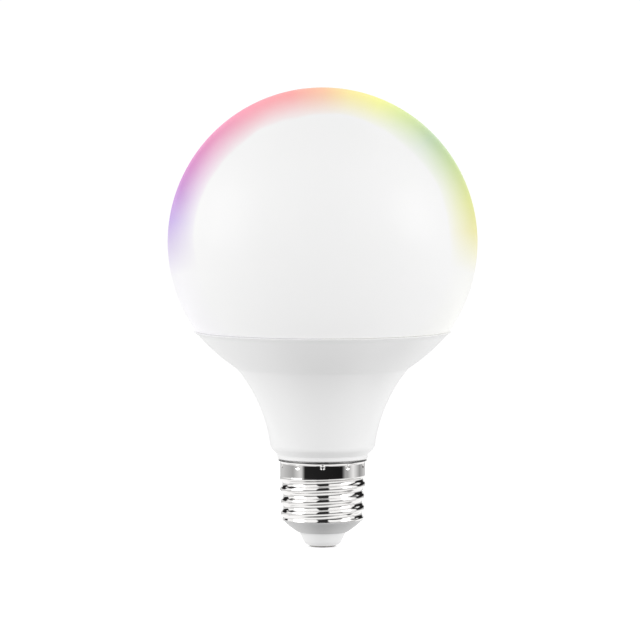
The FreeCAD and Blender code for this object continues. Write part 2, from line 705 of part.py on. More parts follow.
def make_capacitor(part):
    """Electrolytic can with the groove rolled round its rubber end."""
    radius, height = part["radius"], part["height"]
    groove_z = 1.9
    can = turned(
        (0.0, 0.6),
        (radius - 0.7, 0.6),
        (radius - 0.7, 0.0),
        (radius - 0.25, 0.0),
        (radius, 0.3),
        (radius, groove_z - 0.5),
        ((radius - 0.45, groove_z), (radius, groove_z + 0.5)),
        (radius, height - 0.4),
        ((radius - 0.12, height - 0.12), (radius - 0.4, height)),
        (0.0, height),
    )
    if part["leads_up"]:
        can.rotate(FreeCAD.Vector(0, 0, height / 2), FreeCAD.Vector(1, 0, 0), 180)
    can.translate(FreeCAD.Vector(part["x"], part["y"], part["z"]))
    return can


def make_capacitor_bungs():
    """Rubber plugs in the open ends of the two electrolytic cans."""
    bungs = []
    for part in (INPUT_CAPACITOR, OUTPUT_CAPACITOR):
        foot_z = part["z"] + part["height"] - 0.6 + GAP if part["leads_up"] else part["z"] + GAP
        centre = (part["x"], part["y"])
        bung = rod(part["radius"] - 0.7 - GAP, (*centre, foot_z), (*centre, foot_z + 0.54))
        holes = [
            rod(LEAD_RADIUS + GAP, (x, part["y"], foot_z - 1), (x, part["y"], foot_z + 2))
            for x, _ in capacitor_lead_spots(part)
        ]
        bungs.append(bung.cut(holes))
    return group(bungs)


def disc_part(part):
    """A dipped disc that stands off the front of the board, with a rounded edge."""
    half = part["thickness"] / 2
    disc = Part.makeCylinder(
        part["radius"],
        part["thickness"],
        FreeCAD.Vector(part["x"], part["y"] - half, part["z"]),
        FreeCAD.Vector(0, 1, 0),
    )
    return disc.makeFillet(half * 0.7, [e for e in disc.Edges if e.Closed])


def make_film_capacitor():
    block = box(FILM_CAPACITOR["x"], FILM_CAPACITOR["y"], FILM_CAPACITOR["z"])
    return block.makeFillet(0.4, block.Edges)


def choke_turned(start, *steps):
    """A solid of revolution about the choke's own axis: heights run from its near face."""
    shape = turned(start, *steps)
    shape.rotate(ORIGIN, FreeCAD.Vector(1, 0, 0), 90)
    shape.translate(FreeCAD.Vector(CHOKE["x"], CHOKE["near_y"], CHOKE["z"]))
    return shape


def make_choke_core():
    """Ferrite drum: two flanges on a thin waist."""
    length = CHOKE["near_y"] - CHOKE["far_y"]
    flange = CHOKE["radius"]
    return choke_turned(
        (0, 0), (flange, 0), (flange, 1), (1.7, 1), (1.7, length - 1), (flange, length - 1),
        (flange, length), (0, length),
    )


def make_choke_winding():
    length = CHOKE["near_y"] - CHOKE["far_y"]
    low, high = 1.7 + GAP, CHOKE["radius"] - 0.4
    return choke_turned((low, 1 + GAP), (high, 1 + GAP), (high, length - 1 - GAP), (low, length - 1 - GAP))


def transformer_block(half_x, half_y, foot, top):
    """A block centred on the transformer, with heights counted from its foot."""
    x, y, z = TRANSFORMER["x"], TRANSFORMER["y"], TRANSFORMER["foot_z"]
    return box((x - half_x, x + half_x), (y - half_y, y + half_y), (z + foot, z + top))


TRANSFORMER_HEIGHT = TRANSFORMER["top_z"] - TRANSFORMER["foot_z"]
CORE_BAR = 1.9
BOBBIN_FOOT = CORE_BAR + GAP
BOBBIN_TOP = TRANSFORMER_HEIGHT - CORE_BAR - GAP


def make_transformer_core():
    """Two E-shaped ferrite halves, as one closed frame with a leg through the bobbin."""
    frame = transformer_block(6.5, 3.0, 0, TRANSFORMER_HEIGHT)
    window = transformer_block(4.6, 4.0, CORE_BAR, TRANSFORMER_HEIGHT - CORE_BAR)
    leg = transformer_block(1.9, 2.2, CORE_BAR - 0.5, TRANSFORMER_HEIGHT - CORE_BAR + 0.5)
    return joined(frame.cut(window), [leg])


def make_transformer_bobbin():
    """Plastic spool on the core's middle leg, with a foot that carries the pins."""
    spool = transformer_block(2.5, 2.8, BOBBIN_FOOT, BOBBIN_TOP)
    low_flange = transformer_block(4.5, 4.2, BOBBIN_FOOT, BOBBIN_FOOT + 0.6)
    high_flange = transformer_block(4.5, 4.2, BOBBIN_TOP - 0.6, BOBBIN_TOP)
    hole = transformer_block(1.9 + GAP, 2.2 + GAP, 0, TRANSFORMER_HEIGHT)
    return joined(spool, [low_flange, high_flange]).cut(hole)


def make_transformer_winding():
    """Wound wire between the flanges of the bobbin."""
    foot, top = BOBBIN_FOOT + 0.6 + GAP, BOBBIN_TOP - 0.6 - GAP
    coil = transformer_block(4.3, 4.0, foot, top)
    uprights = [e for e in coil.Edges if abs(e.BoundBox.ZLength - (top - foot)) < 0.01]
    coil = coil.makeFillet(1.2, uprights)
    return coil.cut(transformer_block(2.5 + GAP, 2.8 + GAP, 0, TRANSFORMER_HEIGHT))


def make_pin_strip():
    """Bar under the transformer that its straight pins come out of."""
    return box((-5.0, 5.0), (-4.6, -2.6), (46.6, TRANSFORMER["foot_z"] - GAP))


def make_fuse():
    body = rod(
        FUSE["radius"], (FUSE["x"], FUSE["y"], FUSE["foot_z"]), (FUSE["x"], FUSE["y"], FUSE["top_z"])
    )
    return body.makeFillet(0.6, [e for e in body.Edges if e.Closed])


def make_fuse_sleeve():
    """Shrink tube over the fuse resistor."""
    centre = (FUSE["x"], FUSE["y"])
    low_z, high_z = FUSE["foot_z"] + 0.5, FUSE["top_z"] - 0.5
    tube = rod(FUSE["sleeve"], (*centre, low_z), (*centre, high_z))
    return tube.cut(rod(FUSE["radius"] + GAP, (*centre, low_z - 1), (*centre, high_z + 1)))


def back_block(x, z, height):
    """A part that lies on the back face of the driver board."""
    return box(x, (DRIVER_HALF + GAP, DRIVER_HALF + GAP + height), z)


def make_chips():
    """The supply controller, the colour driver and the regulator."""
    return group(
        [back_block((x0, x1), (z0, z1), 1.4) for x0, x1, z0, z1 in SMALL_OUTLINES]
    )


def make_chip_legs():
    """Rows of short legs under the long edges of the chips."""
    legs = []
    for x0, x1, z0, z1 in SMALL_OUTLINES:
        count = round((x1 - x0) / 1.27)
        first = (x0 + x1) / 2 - 1.27 * (count - 1) / 2
        for i in range(count):
            x = (first + i * 1.27 - 0.2, first + i * 1.27 + 0.2)
            legs.append(back_block(x, (z0 - 0.8, z0 - GAP), 0.4))
            legs.append(back_block(x, (z1 + GAP, z1 + 0.8), 0.4))
    return group(legs)


def make_chip_parts():
    """Small ceramic resistors and capacitors on the back of the driver board."""
    return group([back_block((x - 1, x + 1), (z - 0.6, z + 0.6), 0.6) for x, z in CHIP_PART_SPOTS])


def make_bridge_rectifier():
    return back_block((-7.6, -2.9), (26.0, 30.0), 1.5)


def make_power_transistor():
    body = back_block((-8.4, -1.9), (17.6, 23.8), 2.3)
    return body.makeFillet(0.3, body.Edges)


def make_output_diode():
    return back_block((7.9, 12.2), (38.6, 41.4), 2.2)


# ---------------------------------------------------------------- radio module
def make_radio_board():
    half = RADIO["half_width"]
    return box((-half, half), (RADIO["near_y"], RADIO["far_y"]), (RADIO["foot_z"], RADIO["top_z"]))


def make_radio_can():
    """Drawn shield over the radio's chip, open towards its board."""
    half, wall = RADIO_CAN["half_width"], 0.2
    near, far = RADIO["far_y"] + GAP, RADIO["far_y"] + GAP + RADIO_CAN["height"]
    low, high = RADIO_CAN["foot_z"], RADIO_CAN["top_z"]
    block = box((-half, half), (near, far), (low, high))
    block = block.makeFillet(0.5, [e for e in block.Edges if e.BoundBox.YMax > far - 0.01])
    hollow = box((-half + wall, half - wall), (near - 1, far - wall), (low + wall, high - wall))
    return block.cut(hollow)


def make_radio_chip():
    near = RADIO["far_y"] + GAP
    return box((-2.5, 2.5), (near, near + 0.85), (55.0, 60.0))


def make_antenna():
    """Folded copper track above the shield."""
    near, far = RADIO["far_y"] + GAP, RADIO["far_y"] + GAP + 0.1
    track, rise, low_z, high_z = 0.5, 1.0, 65.5, 72.5
    runs = [box((-6.5, -6.5 + track), (near, far), (64.2, high_z))]
    lanes = 7
    for i in range(lanes):
        x = -6.5 + i * 2 * rise
        end_z = high_z if i % 2 == 0 else low_z
        z = (end_z - track, end_z) if i % 2 == 0 else (end_z, end_z + track)
        runs.append(box((x, x + 2 * rise), (near, far), z))
        if i < lanes - 1:
            runs.append(box((x + 2 * rise, x + 2 * rise + track), (near, far), (low_z, high_z)))
    return joined(runs[0], runs[1:])


# ---------------------------------------------------------------- supply wires
def make_live_wire():
    """Insulated wire from the foot of the board, bared where it enters the contact's stem."""
    path = ((0, -1.75, 13.2), (0, -1.75, 10.8), (0, 0, 9.6), (0, 0, 7.9))
    cover = bent_rod(path, 0.75, 0.8)
    return joined(cover, [rod(0.45, (0, 0, 8.0), (0, 0, 2.2))])


def make_neutral_wire():
    """Insulated wire behind the board, bared where the cap traps it in the neck's slot."""
    run_z, slot_y = 9.2, 11.1
    cover = bent_rod(((0, 1.75, 13.2), (0, 1.75, run_z), (0, 7.5, run_z)), 0.72, 0.9)
    bare = bent_rod(((0, 7.4, run_z), (0, slot_y, run_z), (0, slot_y, 20.6)), 0.38, 0.5)
    return joined(cover, [bare])


def main():
    white_cases, cool_windows, warm_windows = white_leds()
    colour_cases, colour_windows = colour_leds()
    nodes = {
        "globe": make_globe(),
        "globe_seal": make_seal(),
        "housing": make_housing(),
        "cap_shell": make_cap_shell(),
        "cap_insulator": make_insulator(),
        "centre_contact": make_contact(),
        "heat_sink_cup": make_heat_sink_cup(),
        "thermal_pad": make_thermal_pad(),
        "led_board": make_led_board(),
        "led_board_screws": make_screws(),
        "white_led_cases": white_cases,
        "cool_led_windows": cool_windows,
        "warm_led_windows": warm_windows,
        "colour_led_cases": colour_cases,
        "colour_led_windows": colour_windows,
        "driver_board": make_driver_board(),
        "component_leads": make_leads(),
        "solder_joints": make_solder(),
        "link_pins": make_link_pins(),
        "link_headers": make_link_headers(),
        "input_capacitor": make_capacitor(INPUT_CAPACITOR),
        "output_capacitor": make_capacitor(OUTPUT_CAPACITOR),
        "capacitor_bungs": make_capacitor_bungs(),
        "film_capacitor": make_film_capacitor(),
        "safety_capacitor": disc_part(SAFETY_CAPACITOR),
        "varistor": disc_part(VARISTOR),
        "choke_core": make_choke_core(),
        "choke_winding": make_choke_winding(),
        "transformer_core": make_transformer_core(),
        "transformer_bobbin": make_transformer_bobbin(),
        "transformer_winding": make_transformer_winding(),
        "transformer_pin_strip": make_pin_strip(),
        "fuse_resistor": make_fuse(),
        "fuse_sleeve": make_fuse_sleeve(),
        "bridge_rectifier": make_bridge_rectifier(),
        "power_transistor": make_power_transistor(),
        "output_diode": make_output_diode(),
        "control_chips": make_chips(),
        "chip_legs": make_chip_legs(),
        "chip_parts": make_chip_parts(),
        "radio_board": make_radio_board(),
        "radio_shield": make_radio_can(),
        "radio_chip": make_radio_chip(),
        "radio_antenna": make_antenna(),
        "live_wire": make_live_wire(),
        "neutral_wire": make_neutral_wire(),
    }
    os.makedirs("parts", exist_ok=True)
    for name, shape in nodes.items():
        shape.exportStep(f"parts/{name}.step")


main()
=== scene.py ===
"""Looks of the smart globe lamp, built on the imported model. Metres, +Z up the lamp's axis, -Y is
the front. The five pieces that show are built here as fine meshes; the rest keep their CAD
shape."""

import json
import math

import bpy
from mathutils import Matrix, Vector


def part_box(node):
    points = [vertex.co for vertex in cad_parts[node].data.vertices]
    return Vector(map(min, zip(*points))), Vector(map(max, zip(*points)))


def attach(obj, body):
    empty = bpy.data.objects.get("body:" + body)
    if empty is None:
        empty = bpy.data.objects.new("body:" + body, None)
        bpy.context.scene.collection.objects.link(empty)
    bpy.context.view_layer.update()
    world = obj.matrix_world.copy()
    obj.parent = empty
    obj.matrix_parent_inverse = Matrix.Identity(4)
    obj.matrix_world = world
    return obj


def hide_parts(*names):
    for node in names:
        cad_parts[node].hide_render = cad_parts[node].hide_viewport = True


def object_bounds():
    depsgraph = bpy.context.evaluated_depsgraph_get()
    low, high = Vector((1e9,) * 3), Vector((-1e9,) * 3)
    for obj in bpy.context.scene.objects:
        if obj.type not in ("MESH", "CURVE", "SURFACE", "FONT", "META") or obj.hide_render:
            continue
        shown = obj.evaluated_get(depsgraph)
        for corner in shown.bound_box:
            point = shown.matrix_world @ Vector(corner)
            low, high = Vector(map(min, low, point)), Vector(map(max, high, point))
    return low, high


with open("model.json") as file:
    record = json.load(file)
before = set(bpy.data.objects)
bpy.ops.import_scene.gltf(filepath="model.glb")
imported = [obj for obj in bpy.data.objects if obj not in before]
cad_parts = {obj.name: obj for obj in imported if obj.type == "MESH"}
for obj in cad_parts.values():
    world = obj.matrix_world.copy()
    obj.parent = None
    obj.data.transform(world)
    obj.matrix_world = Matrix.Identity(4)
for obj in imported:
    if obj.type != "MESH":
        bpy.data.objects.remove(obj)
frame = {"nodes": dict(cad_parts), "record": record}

cad_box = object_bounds()
MM = 0.001

# ---------------------------------------------------------------- places taken from the frame
globe_low, globe_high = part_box("globe")
housing_low, housing_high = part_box("housing")
shell_low, shell_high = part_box("cap_shell")

GLOBE_RADIUS = round((globe_high.x - globe_low.x) / 2, 4)
GLOBE_CENTRE = globe_high.z - GLOBE_RADIUS
RIM_Z = globe_low.z
SEAM_Z = RIM_Z - 0.15 * MM
TONGUE_TOP_Z = housing_high.z
NECK_FOOT_Z = housing_low.z
LIP_Z = shell_high.z
LIP_RADIUS = round((shell_high.x - shell_low.x) / 2, 5)
SEAL_RADIUS = -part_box("globe_seal")[0].x
INSULATOR_FOOT_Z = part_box("cap_insulator")[0].z

# ---------------------------------------------------------------- sizes of the globe
GLOBE_WALL = 1.0 * MM
HOOK_HEIGHT = 1.15 * MM  # of the straight bore that hooks over the tongue
HOOK_SLOPE = 0.3 * MM

# ---------------------------------------------------------------- sizes of the housing
# A pair is (radius, height), unless its comment says otherwise.
SEAM_RADIUS = 39.1 * MM
WAIST = (26.4 * MM, 54.9 * MM)
NECK_TOP = (16.05 * MM, 30.6 * MM)
NECK_ROUND_Z = NECK_TOP[1] + 1.1 * MM
FLARE_CURVE = 57.0 * MM
TRUMPET_CURVE = 47.4 * MM
WAIST_ROUNDING = 0.05 * MM
COLLAR = (13.9 * MM, 28.4 * MM)
HOUSING_WALL = 1.6 * MM
NECK_BORE = 10.25 * MM
NECK_SLEEVE = (11.65 * MM, 21.6 * MM)
NECK_SHOULDER = (12.65 * MM, 22.2 * MM)
NECK_GROOVE = 12.3 * MM  # the shell is punched into this groove
TONGUE = (35.9 * MM, 37.2 * MM)  # inner and outer radius
SNAP = 0.4 * MM  # how far the bead round the tongue stands proud

# ---------------------------------------------------------------- sizes of the cap
PITCH = 3.629 * MM
CREST = 13.15 * MM
ROOT = 12.35 * MM
CREST_Z = 8.5 * MM  # a crest crosses the +X side here
THREAD_FOOT_Z = 8.3 * MM
THREAD_TOP_Z = 22.55 * MM
THREAD_END_Z = THREAD_TOP_Z - 0.4 * MM
THREAD_FOOT_FADE = 1.1 * MM
THREAD_TOP_FADE = 1.2 * MM
SKIRT = 13.05 * MM
FLARE_FOOT_Z = 25.75 * MM
SHEET = 0.3 * MM
LIP_EDGE = 0.5 * MM  # height of the lip's cut edge
TAPER = (  # (radius, height) from the foot of the thread down to the shell's edge
    (12.35 * MM, 8.6 * MM),
    (12.27 * MM, 8.2 * MM),
    (11.85 * MM, 7.85 * MM),
    (9.8 * MM, 6.05 * MM),
    (7.85 * MM, 4.68 * MM),
    (7.4 * MM, 4.46 * MM),
)
PUNCHES = 10
PUNCH_Z = 25.35 * MM
PUNCH_RADIUS = 0.9 * MM
PUNCH_LOW = PUNCH_Z - PUNCH_RADIUS - 0.05 * MM
PUNCH_DEPTH = 0.25 * MM
PUNCH_FLAT = 0.3  # share of the mark's radius that is its flat bottom
CONTACT_RADIUS = 4.1 * MM

# ---------------------------------------------------------------- columns and rows of the meshes
GLOBE_COLUMNS = 256
GLOBE_ROWS = 112
GLOBE_INNER_ROWS = 48
HOUSING_COLUMNS = 224
HOUSING_ROWS = 96
HOUSING_INNER_ROWS = 40
PUNCH_ROWS = 16
PUNCH_COLUMNS = 16
SKIRT_ROWS = 4
SKIRT_COLUMNS = 20
THREAD_ROWS = 160
THREAD_INNER_ROWS = 34
INSULATOR_COLUMNS = 144
CONTACT_COLUMNS = 96


# ---------------------------------------------------------------- mesh helpers
def arc_through(start, middle, end, count):
    """Points along the circle through three profile points, without the first."""
    ax, az = start
    bx, bz = middle
    cx, cz = end
    d = 2 * (ax * (bz - cz) + bx * (cz - az) + cx * (az - bz))
    a2, b2, c2 = ax * ax + az * az, bx * bx + bz * bz, cx * cx + cz * cz
    ox = (a2 * (bz - cz) + b2 * (cz - az) + c2 * (az - bz)) / d
    oz = (a2 * (cx - bx) + b2 * (ax - cx) + c2 * (bx - ax)) / d
    radius = math.hypot(ax - ox, az - oz)
    first = math.atan2(az - oz, ax - ox)
    through = (math.atan2(bz - oz, bx - ox) - first) % math.tau
    last = (math.atan2(cz - oz, cx - ox) - first) % math.tau
    sweep = last if through < last else last - math.tau
    turns = [first + sweep * (i + 1) / count for i in range(count)]
    return [(ox + radius * math.cos(t), oz + radius * math.sin(t)) for t in turns]


def round_corners(points, radius, steps=4):
    """A closed profile with each sharp corner off the axis replaced by a small curve."""
    nearly_straight = math.radians(150)
    longest_share = 0.45
    result = []
    for i, corner in enumerate(points):
        here = Vector(corner)
        back = Vector(points[i - 1]) - here
        ahead = Vector(points[(i + 1) % len(points)]) - here
        if corner[0] == 0 or back.angle(ahead, math.pi) > nearly_straight:
            result.append(corner)
            continue
        reach = min(radius, back.length * longest_share, ahead.length * longest_share)
        start = here + back.normalized() * reach
        end = here + ahead.normalized() * reach
        for k in range(steps + 1):
            t = k / steps
            point = start * (1 - t) ** 2 + here * 2 * t * (1 - t) + end * t * t
            result.append((point.x, point.y))
    return result


def evenly(segments):
    return [math.tau * i / segments for i in range(segments)]


def lathe(profile, angles, surface=None):
    """Vertices and faces of a closed profile of (radius, height) turned round the axis. A surface
    function may move each point: it takes the angle, the radius and the height."""
    segments = len(angles)
    verts = []
    rings = []
    for radius, z in profile:
        if radius == 0:
            rings.append([len(verts)] * segments)
            verts.append((0.0, 0.0, z))
            continue
        ring = []
        for angle in angles:
            r, height = surface(angle, radius, z) if surface else (radius, z)
            ring.append(len(verts))
            verts.append((r * math.cos(angle), r * math.sin(angle), height))
        rings.append(ring)
    faces = []
    for lower, upper in zip(rings, rings[1:] + rings[:1]):
        for i in range(segments):
            j = (i + 1) % segments
            corners = (lower[i], lower[j], upper[j], upper[i])
            face = tuple(dict.fromkeys(corners))
            if len(face) > 2:
                faces.append(face)
    return verts, faces


def faces_outwards(profile):
    """The profile in the order whose faces point out of the solid."""
    area = sum(a[0] * b[1] - b[0] * a[1] for a, b in zip(profile, profile[1:] + profile[:1]))
    return profile if area > 0 else profile[::-1]


def new_piece(name, turned, material, node, sharp=35):
    """A piece from its vertices and faces, on the lamp's one body, in place of its CAD node."""
    verts, faces = turned
    mesh = bpy.data.meshes.new(name)
    mesh.from_pydata(verts, [], faces)
    mesh.validate()
    mesh.materials.append(material)
    smooth(mesh, sharp)
    piece = bpy.data.objects.new(name, mesh)
    bpy.context.scene.collection.objects.link(piece)
    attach(piece, "root")
    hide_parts(node)


def smooth(mesh, sharp):
    """Smooth shading, with an edge kept where faces meet at more than this many degrees."""
    mesh.polygons.foreach_set("use_smooth", [True] * len(mesh.polygons))
    mesh.set_sharp_from_angle(angle=math.radians(sharp))


# ---------------------------------------------------------------- node helpers
class Nodes:
    """Short-hand for building one node tree. Values can be numbers or sockets."""

    def __init__(self, tree):
        self.tree = tree
        tree.nodes.clear()

    def add(self, kind, inputs=None, **settings):
        node = self.tree.nodes.new(kind)
        for key, value in settings.items():
            setattr(node, key, value)
        for key, value in (inputs or {}).items():
            self.feed(node.inputs[key], value)
        return node

    def feed(self, socket, value):
        if isinstance(value, bpy.types.NodeSocket):
            self.tree.links.new(value, socket)
        else:
            socket.default_value = value

    def maths(self, operation, *values):
        node = self.add("ShaderNodeMath", operation=operation)
        for socket, value in zip(node.inputs, values):
            self.feed(socket, value)
        return node.outputs[0]

    def ramp(self, value, low, high, at_low=0.0, at_high=1.0):
        """A smooth step of value from low to high."""
        node = self.add("ShaderNodeMapRange", interpolation_type="SMOOTHSTEP")
        for key, entry in zip(
            ("Value", "From Min", "From Max", "To Min", "To Max"),
            (value, low, high, at_low, at_high),
        ):
            self.feed(node.inputs[key], entry)
        return node.outputs[0]

    def window(self, value, low, high, soft):
        """One between low and high, zero outside, with soft edges."""
        rise = self.ramp(value, low - soft, low + soft)
        fall = self.ramp(value, high - soft, high + soft, 1.0, 0.0)
        return self.maths("MULTIPLY", rise, fall)

    def between(self, share, first, second):
        """A number that goes from first to second with the share."""
        node = self.add("ShaderNodeMix", {0: share, 2: first, 3: second}, data_type="FLOAT")
        return node.outputs[0]

    def mix(self, share, first, second):
        """A colour that goes from first to second with the share."""
        node = self.add("ShaderNodeMix", {0: share, 6: first, 7: second}, data_type="RGBA")
        return node.outputs[2]

    def gradient(self, value, stops):
        """The colour at value, along stops of (value, colour)."""
        first, last = stops[0][0], stops[-1][0]
        share = self.maths("DIVIDE", self.maths("SUBTRACT", value, first), last - first)
        node = self.add("ShaderNodeValToRGB", {"Fac": share})
        marks = node.color_ramp.elements
        marks[0].color = stops[0][1]
        marks[1].color = stops[-1][1]
        for at, tint in stops[1:-1]:
            marks.new((at - first) / (last - first)).color = tint
        return node.outputs[0]

    def scaled(self, tint, amount):
        node = self.add("ShaderNodeVectorMath", {"Vector": tint, "Scale": amount}, operation="SCALE")
        return node.outputs[0]

    def noise(self, vector, scale, detail=2.0, roughness=0.5):
        node = self.add(
            "ShaderNodeTexNoise",
            {"Vector": vector, "Scale": scale, "Detail": detail, "Roughness": roughness},
        )
        return node.outputs[0]

    def stretched(self, vector, scale):
        node = self.add("ShaderNodeMapping", {"Vector": vector, "Scale": scale})
        return node.outputs[0]

    def from_camera(self, vector, kind):
        """A world vector as the camera sees it: x to the right, y up, z along the view."""
        node = self.add(
            "ShaderNodeVectorTransform",
            {"Vector": vector},
            vector_type=kind,
            convert_from="WORLD",
            convert_to="CAMERA",
        )
        return node.outputs[0]


def colour(red, green, blue):
    return (red, green, blue, 1.0)


def grey(level):
    return colour(level, level, level)


def darker(tint, share):
    """The colour with its brightness scaled by the share."""
    return colour(*[c * share for c in tint[:3]])


def start_material(name):
    """A node material with its object-space position and its shader."""
    material = bpy.data.materials.new(name)
    material.use_nodes = True
    n = Nodes(material.node_tree)
    place = n.add("ShaderNodeTexCoord").outputs["Object"]
    shader = n.add("ShaderNodeBsdfPrincipled")
    output = n.add("ShaderNodeOutputMaterial")
    n.feed(output.inputs[0], shader.outputs[0])
    return material, n, place, shader


def bump(n, shader, height, distance):
    node = n.add("ShaderNodeBump", {"Height": height, "Distance": distance, "Strength": 1.0})
    n.feed(shader.inputs["Normal"], node.outputs[0])


# ---------------------------------------------------------------- kinds of material
def plastic(name, base, roughness, grain=0.25 * MM, depth=0.004 * MM, mottle=0.03):
    """Moulded plastic: fine grain in relief, faint cloudiness in colour and gloss."""
    material, n, place, shader = start_material(name)
    clouds = n.noise(place, 1 / (12 * MM), 3.0)
    fine = n.noise(place, 1 / grain)
    n.feed(shader.inputs["Base Color"], n.mix(clouds, darker(base, 1 - mottle), base))
    n.feed(shader.inputs["Roughness"], n.ramp(fine, 0.2, 0.8, roughness - 0.05, roughness + 0.05))
    bump(n, shader, fine, depth)
    return material


def metal(name, base, roughness, stretch=(1.0, 1.0, 1.0), line=0.3 * MM):
    """Metal with fine drawn or rolled lines, long on the axes with a small stretch."""
    material, n, place, shader = start_material(name)
    lines = n.noise(n.stretched(place, stretch), 1 / line, 3.0)
    clouds = n.noise(place, 1 / (5 * MM), 3.0)
    n.feed(shader.inputs["Metallic"], 1.0)
    n.feed(shader.inputs["Base Color"], n.mix(clouds, darker(base, 0.88), base))
    n.feed(shader.inputs["Roughness"], n.ramp(lines, 0.25, 0.75, roughness * 0.75, roughness * 1.3))
    bump(n, shader, lines, 0.002 * MM)
    return material


def board(name, mask, track_width=0.35 * MM, track_spacing=6 * MM):
    """Glass-fibre board: solder mask over a net of copper tracks, woven glass in the gloss."""
    material, n, place, shader = start_material(name)
    cells = n.add(
        "ShaderNodeTexBrick",
        {
            "Vector": n.stretched(place, (1 / track_spacing, 1 / track_spacing, 1 / track_spacing)),
            "Color1": grey(0),
            "Color2": grey(0),
            "Mortar": grey(1),
            "Scale": 1.0,
            "Mortar Size": track_width / track_spacing,
        },
    )
    weave = n.noise(n.stretched(place, (1.0, 1.0, 0.2)), 1 / (0.4 * MM))
    over_copper = colour(*[min(c * 1.5 + 0.02, 1.0) for c in mask[:3]])
    n.feed(shader.inputs["Base Color"], n.mix(cells.outputs["Color"], mask, over_copper))
    n.feed(shader.inputs["Roughness"], n.ramp(weave, 0.2, 0.8, 0.25, 0.45))
    bump(n, shader, cells.outputs["Color"], 0.02 * MM)
    return material


def dotted(name, base, dot, scale, roughness):
    """Two colours in small cells, for phosphor grains, ferrite and chip ceramic."""
    material, n, place, shader = start_material(name)
    cells = n.add("ShaderNodeTexVoronoi", {"Vector": place, "Scale": scale}).outputs["Distance"]
    n.feed(shader.inputs["Base Color"], n.mix(cells, base, dot))
    n.feed(shader.inputs["Roughness"], n.ramp(cells, 0, 1, roughness, roughness + 0.2))
    bump(n, shader, cells, 0.01 * MM)
    return material


def windings(name, base, groove_shade, turn):
    """Wire laid side by side: ridges one turn apart along the coil, with painted shade in the
    grooves between turns.
    """
    material, n, place, shader = start_material(name)
    rows = n.add(
        "ShaderNodeTexWave",
        {"Vector": place, "Scale": 1 / (turn * math.tau), "Distortion": 0.4},
        bands_direction="Z",
    ).outputs["Fac"]
    # painted shade: the grooves between turns are darkened toward the second colour
    n.feed(shader.inputs["Base Color"], n.mix(rows, groove_shade, base))
    n.feed(shader.inputs["Metallic"], 0.6)
    n.feed(shader.inputs["Roughness"], 0.35)
    bump(n, shader, rows, turn * 0.4)
    return material


# ---------------------------------------------------------------- opal globe
RAINBOW = (  # angle from the right round the globe's outline in degrees, and the rim's colour there
    (-12, colour(0.98, 0.98, 0.95)),
    (4, colour(0.94, 0.90, 0.40)),
    (15, colour(0.87, 0.91, 0.32)),
    (32, colour(0.62, 0.80, 0.33)),
    (44, colour(0.50, 0.70, 0.38)),
    (58, colour(0.68, 0.84, 0.22)),
    (68, colour(0.93, 0.94, 0.15)),
    (79, colour(0.99, 0.82, 0.17)),
    (90, colour(0.99, 0.46, 0.20)),
    (102, colour(0.99, 0.22, 0.21)),
    (120, colour(0.99, 0.20, 0.34)),
    (138, colour(0.90, 0.24, 0.53)),
    (151, colour(0.77, 0.25, 0.66)),
    (162, colour(0.62, 0.28, 0.76)),
    (172, colour(0.56, 0.38, 0.83)),
    (181, colour(0.71, 0.61, 0.86)),
    (193, colour(0.96, 0.95, 0.98)),
)
OPAL_WHITE = 0.50
GLOW = 0.43  # strength of the light that comes through the opal wall
TINT_DEPTH = 0.19  # share of the globe's radius over which the rim's colour fades inwards
TINT_WAVER = 0.06  # how much that depth varies round the globe
TINT_TAIL = 0.15  # the last part of the fade, which is eased off
TINT_BEHIND = 0.4  # how fast the colour ends on the side turned away from the camera


def rim_hue(n, normal):
    """Colour of the rim, from the direction of the normal as the camera sees it."""
    x, y = n.add("ShaderNodeSeparateXYZ", {"Vector": normal}).outputs[:2]
    angle = n.maths("DEGREES", n.maths("ARCTAN2", y, x))
    # angles start straight below the globe, where there is no colour
    below = n.maths("LESS_THAN", angle, -90.0)
    turned = n.maths("ADD", angle, n.maths("MULTIPLY", below, 360.0))
    return n.gradient(turned, RAINBOW)


def rim_strength(n, normal, position, clouds):
    """How much of the rim's colour shows: all on the outline, none further in."""
    sight = n.add("ShaderNodeVectorMath", {0: position}, operation="NORMALIZE").outputs["Vector"]
    dot = n.add("ShaderNodeVectorMath", {0: normal, 1: sight}, operation="DOT_PRODUCT")
    away = dot.outputs["Value"]  # 0 on the outline, below 0 on the side that shows
    # on a ball this is the distance from the middle of its outline, as a share of the radius
    from_middle = n.maths("SQRT", n.maths("SUBTRACT", 1.0, n.maths("POWER", away, 2.0)))
    inset = n.maths("SUBTRACT", 1.0, from_middle)
    waver = n.ramp(clouds, 0.3, 0.7, 1 - TINT_WAVER, 1 + TINT_WAVER)
    reach = n.maths("MULTIPLY", waver, TINT_DEPTH)
    fade = n.maths("MAXIMUM", n.maths("SUBTRACT", 1.0, n.maths("DIVIDE", inset, reach)), 0.0)
    eased = n.maths("SUBTRACT", n.ramp(fade, 0.0, TINT_TAIL), n.ramp(away, 0.0, TINT_BEHIND))
    return n.maths("MAXIMUM", n.maths("MULTIPLY", fade, eased), 0.0)


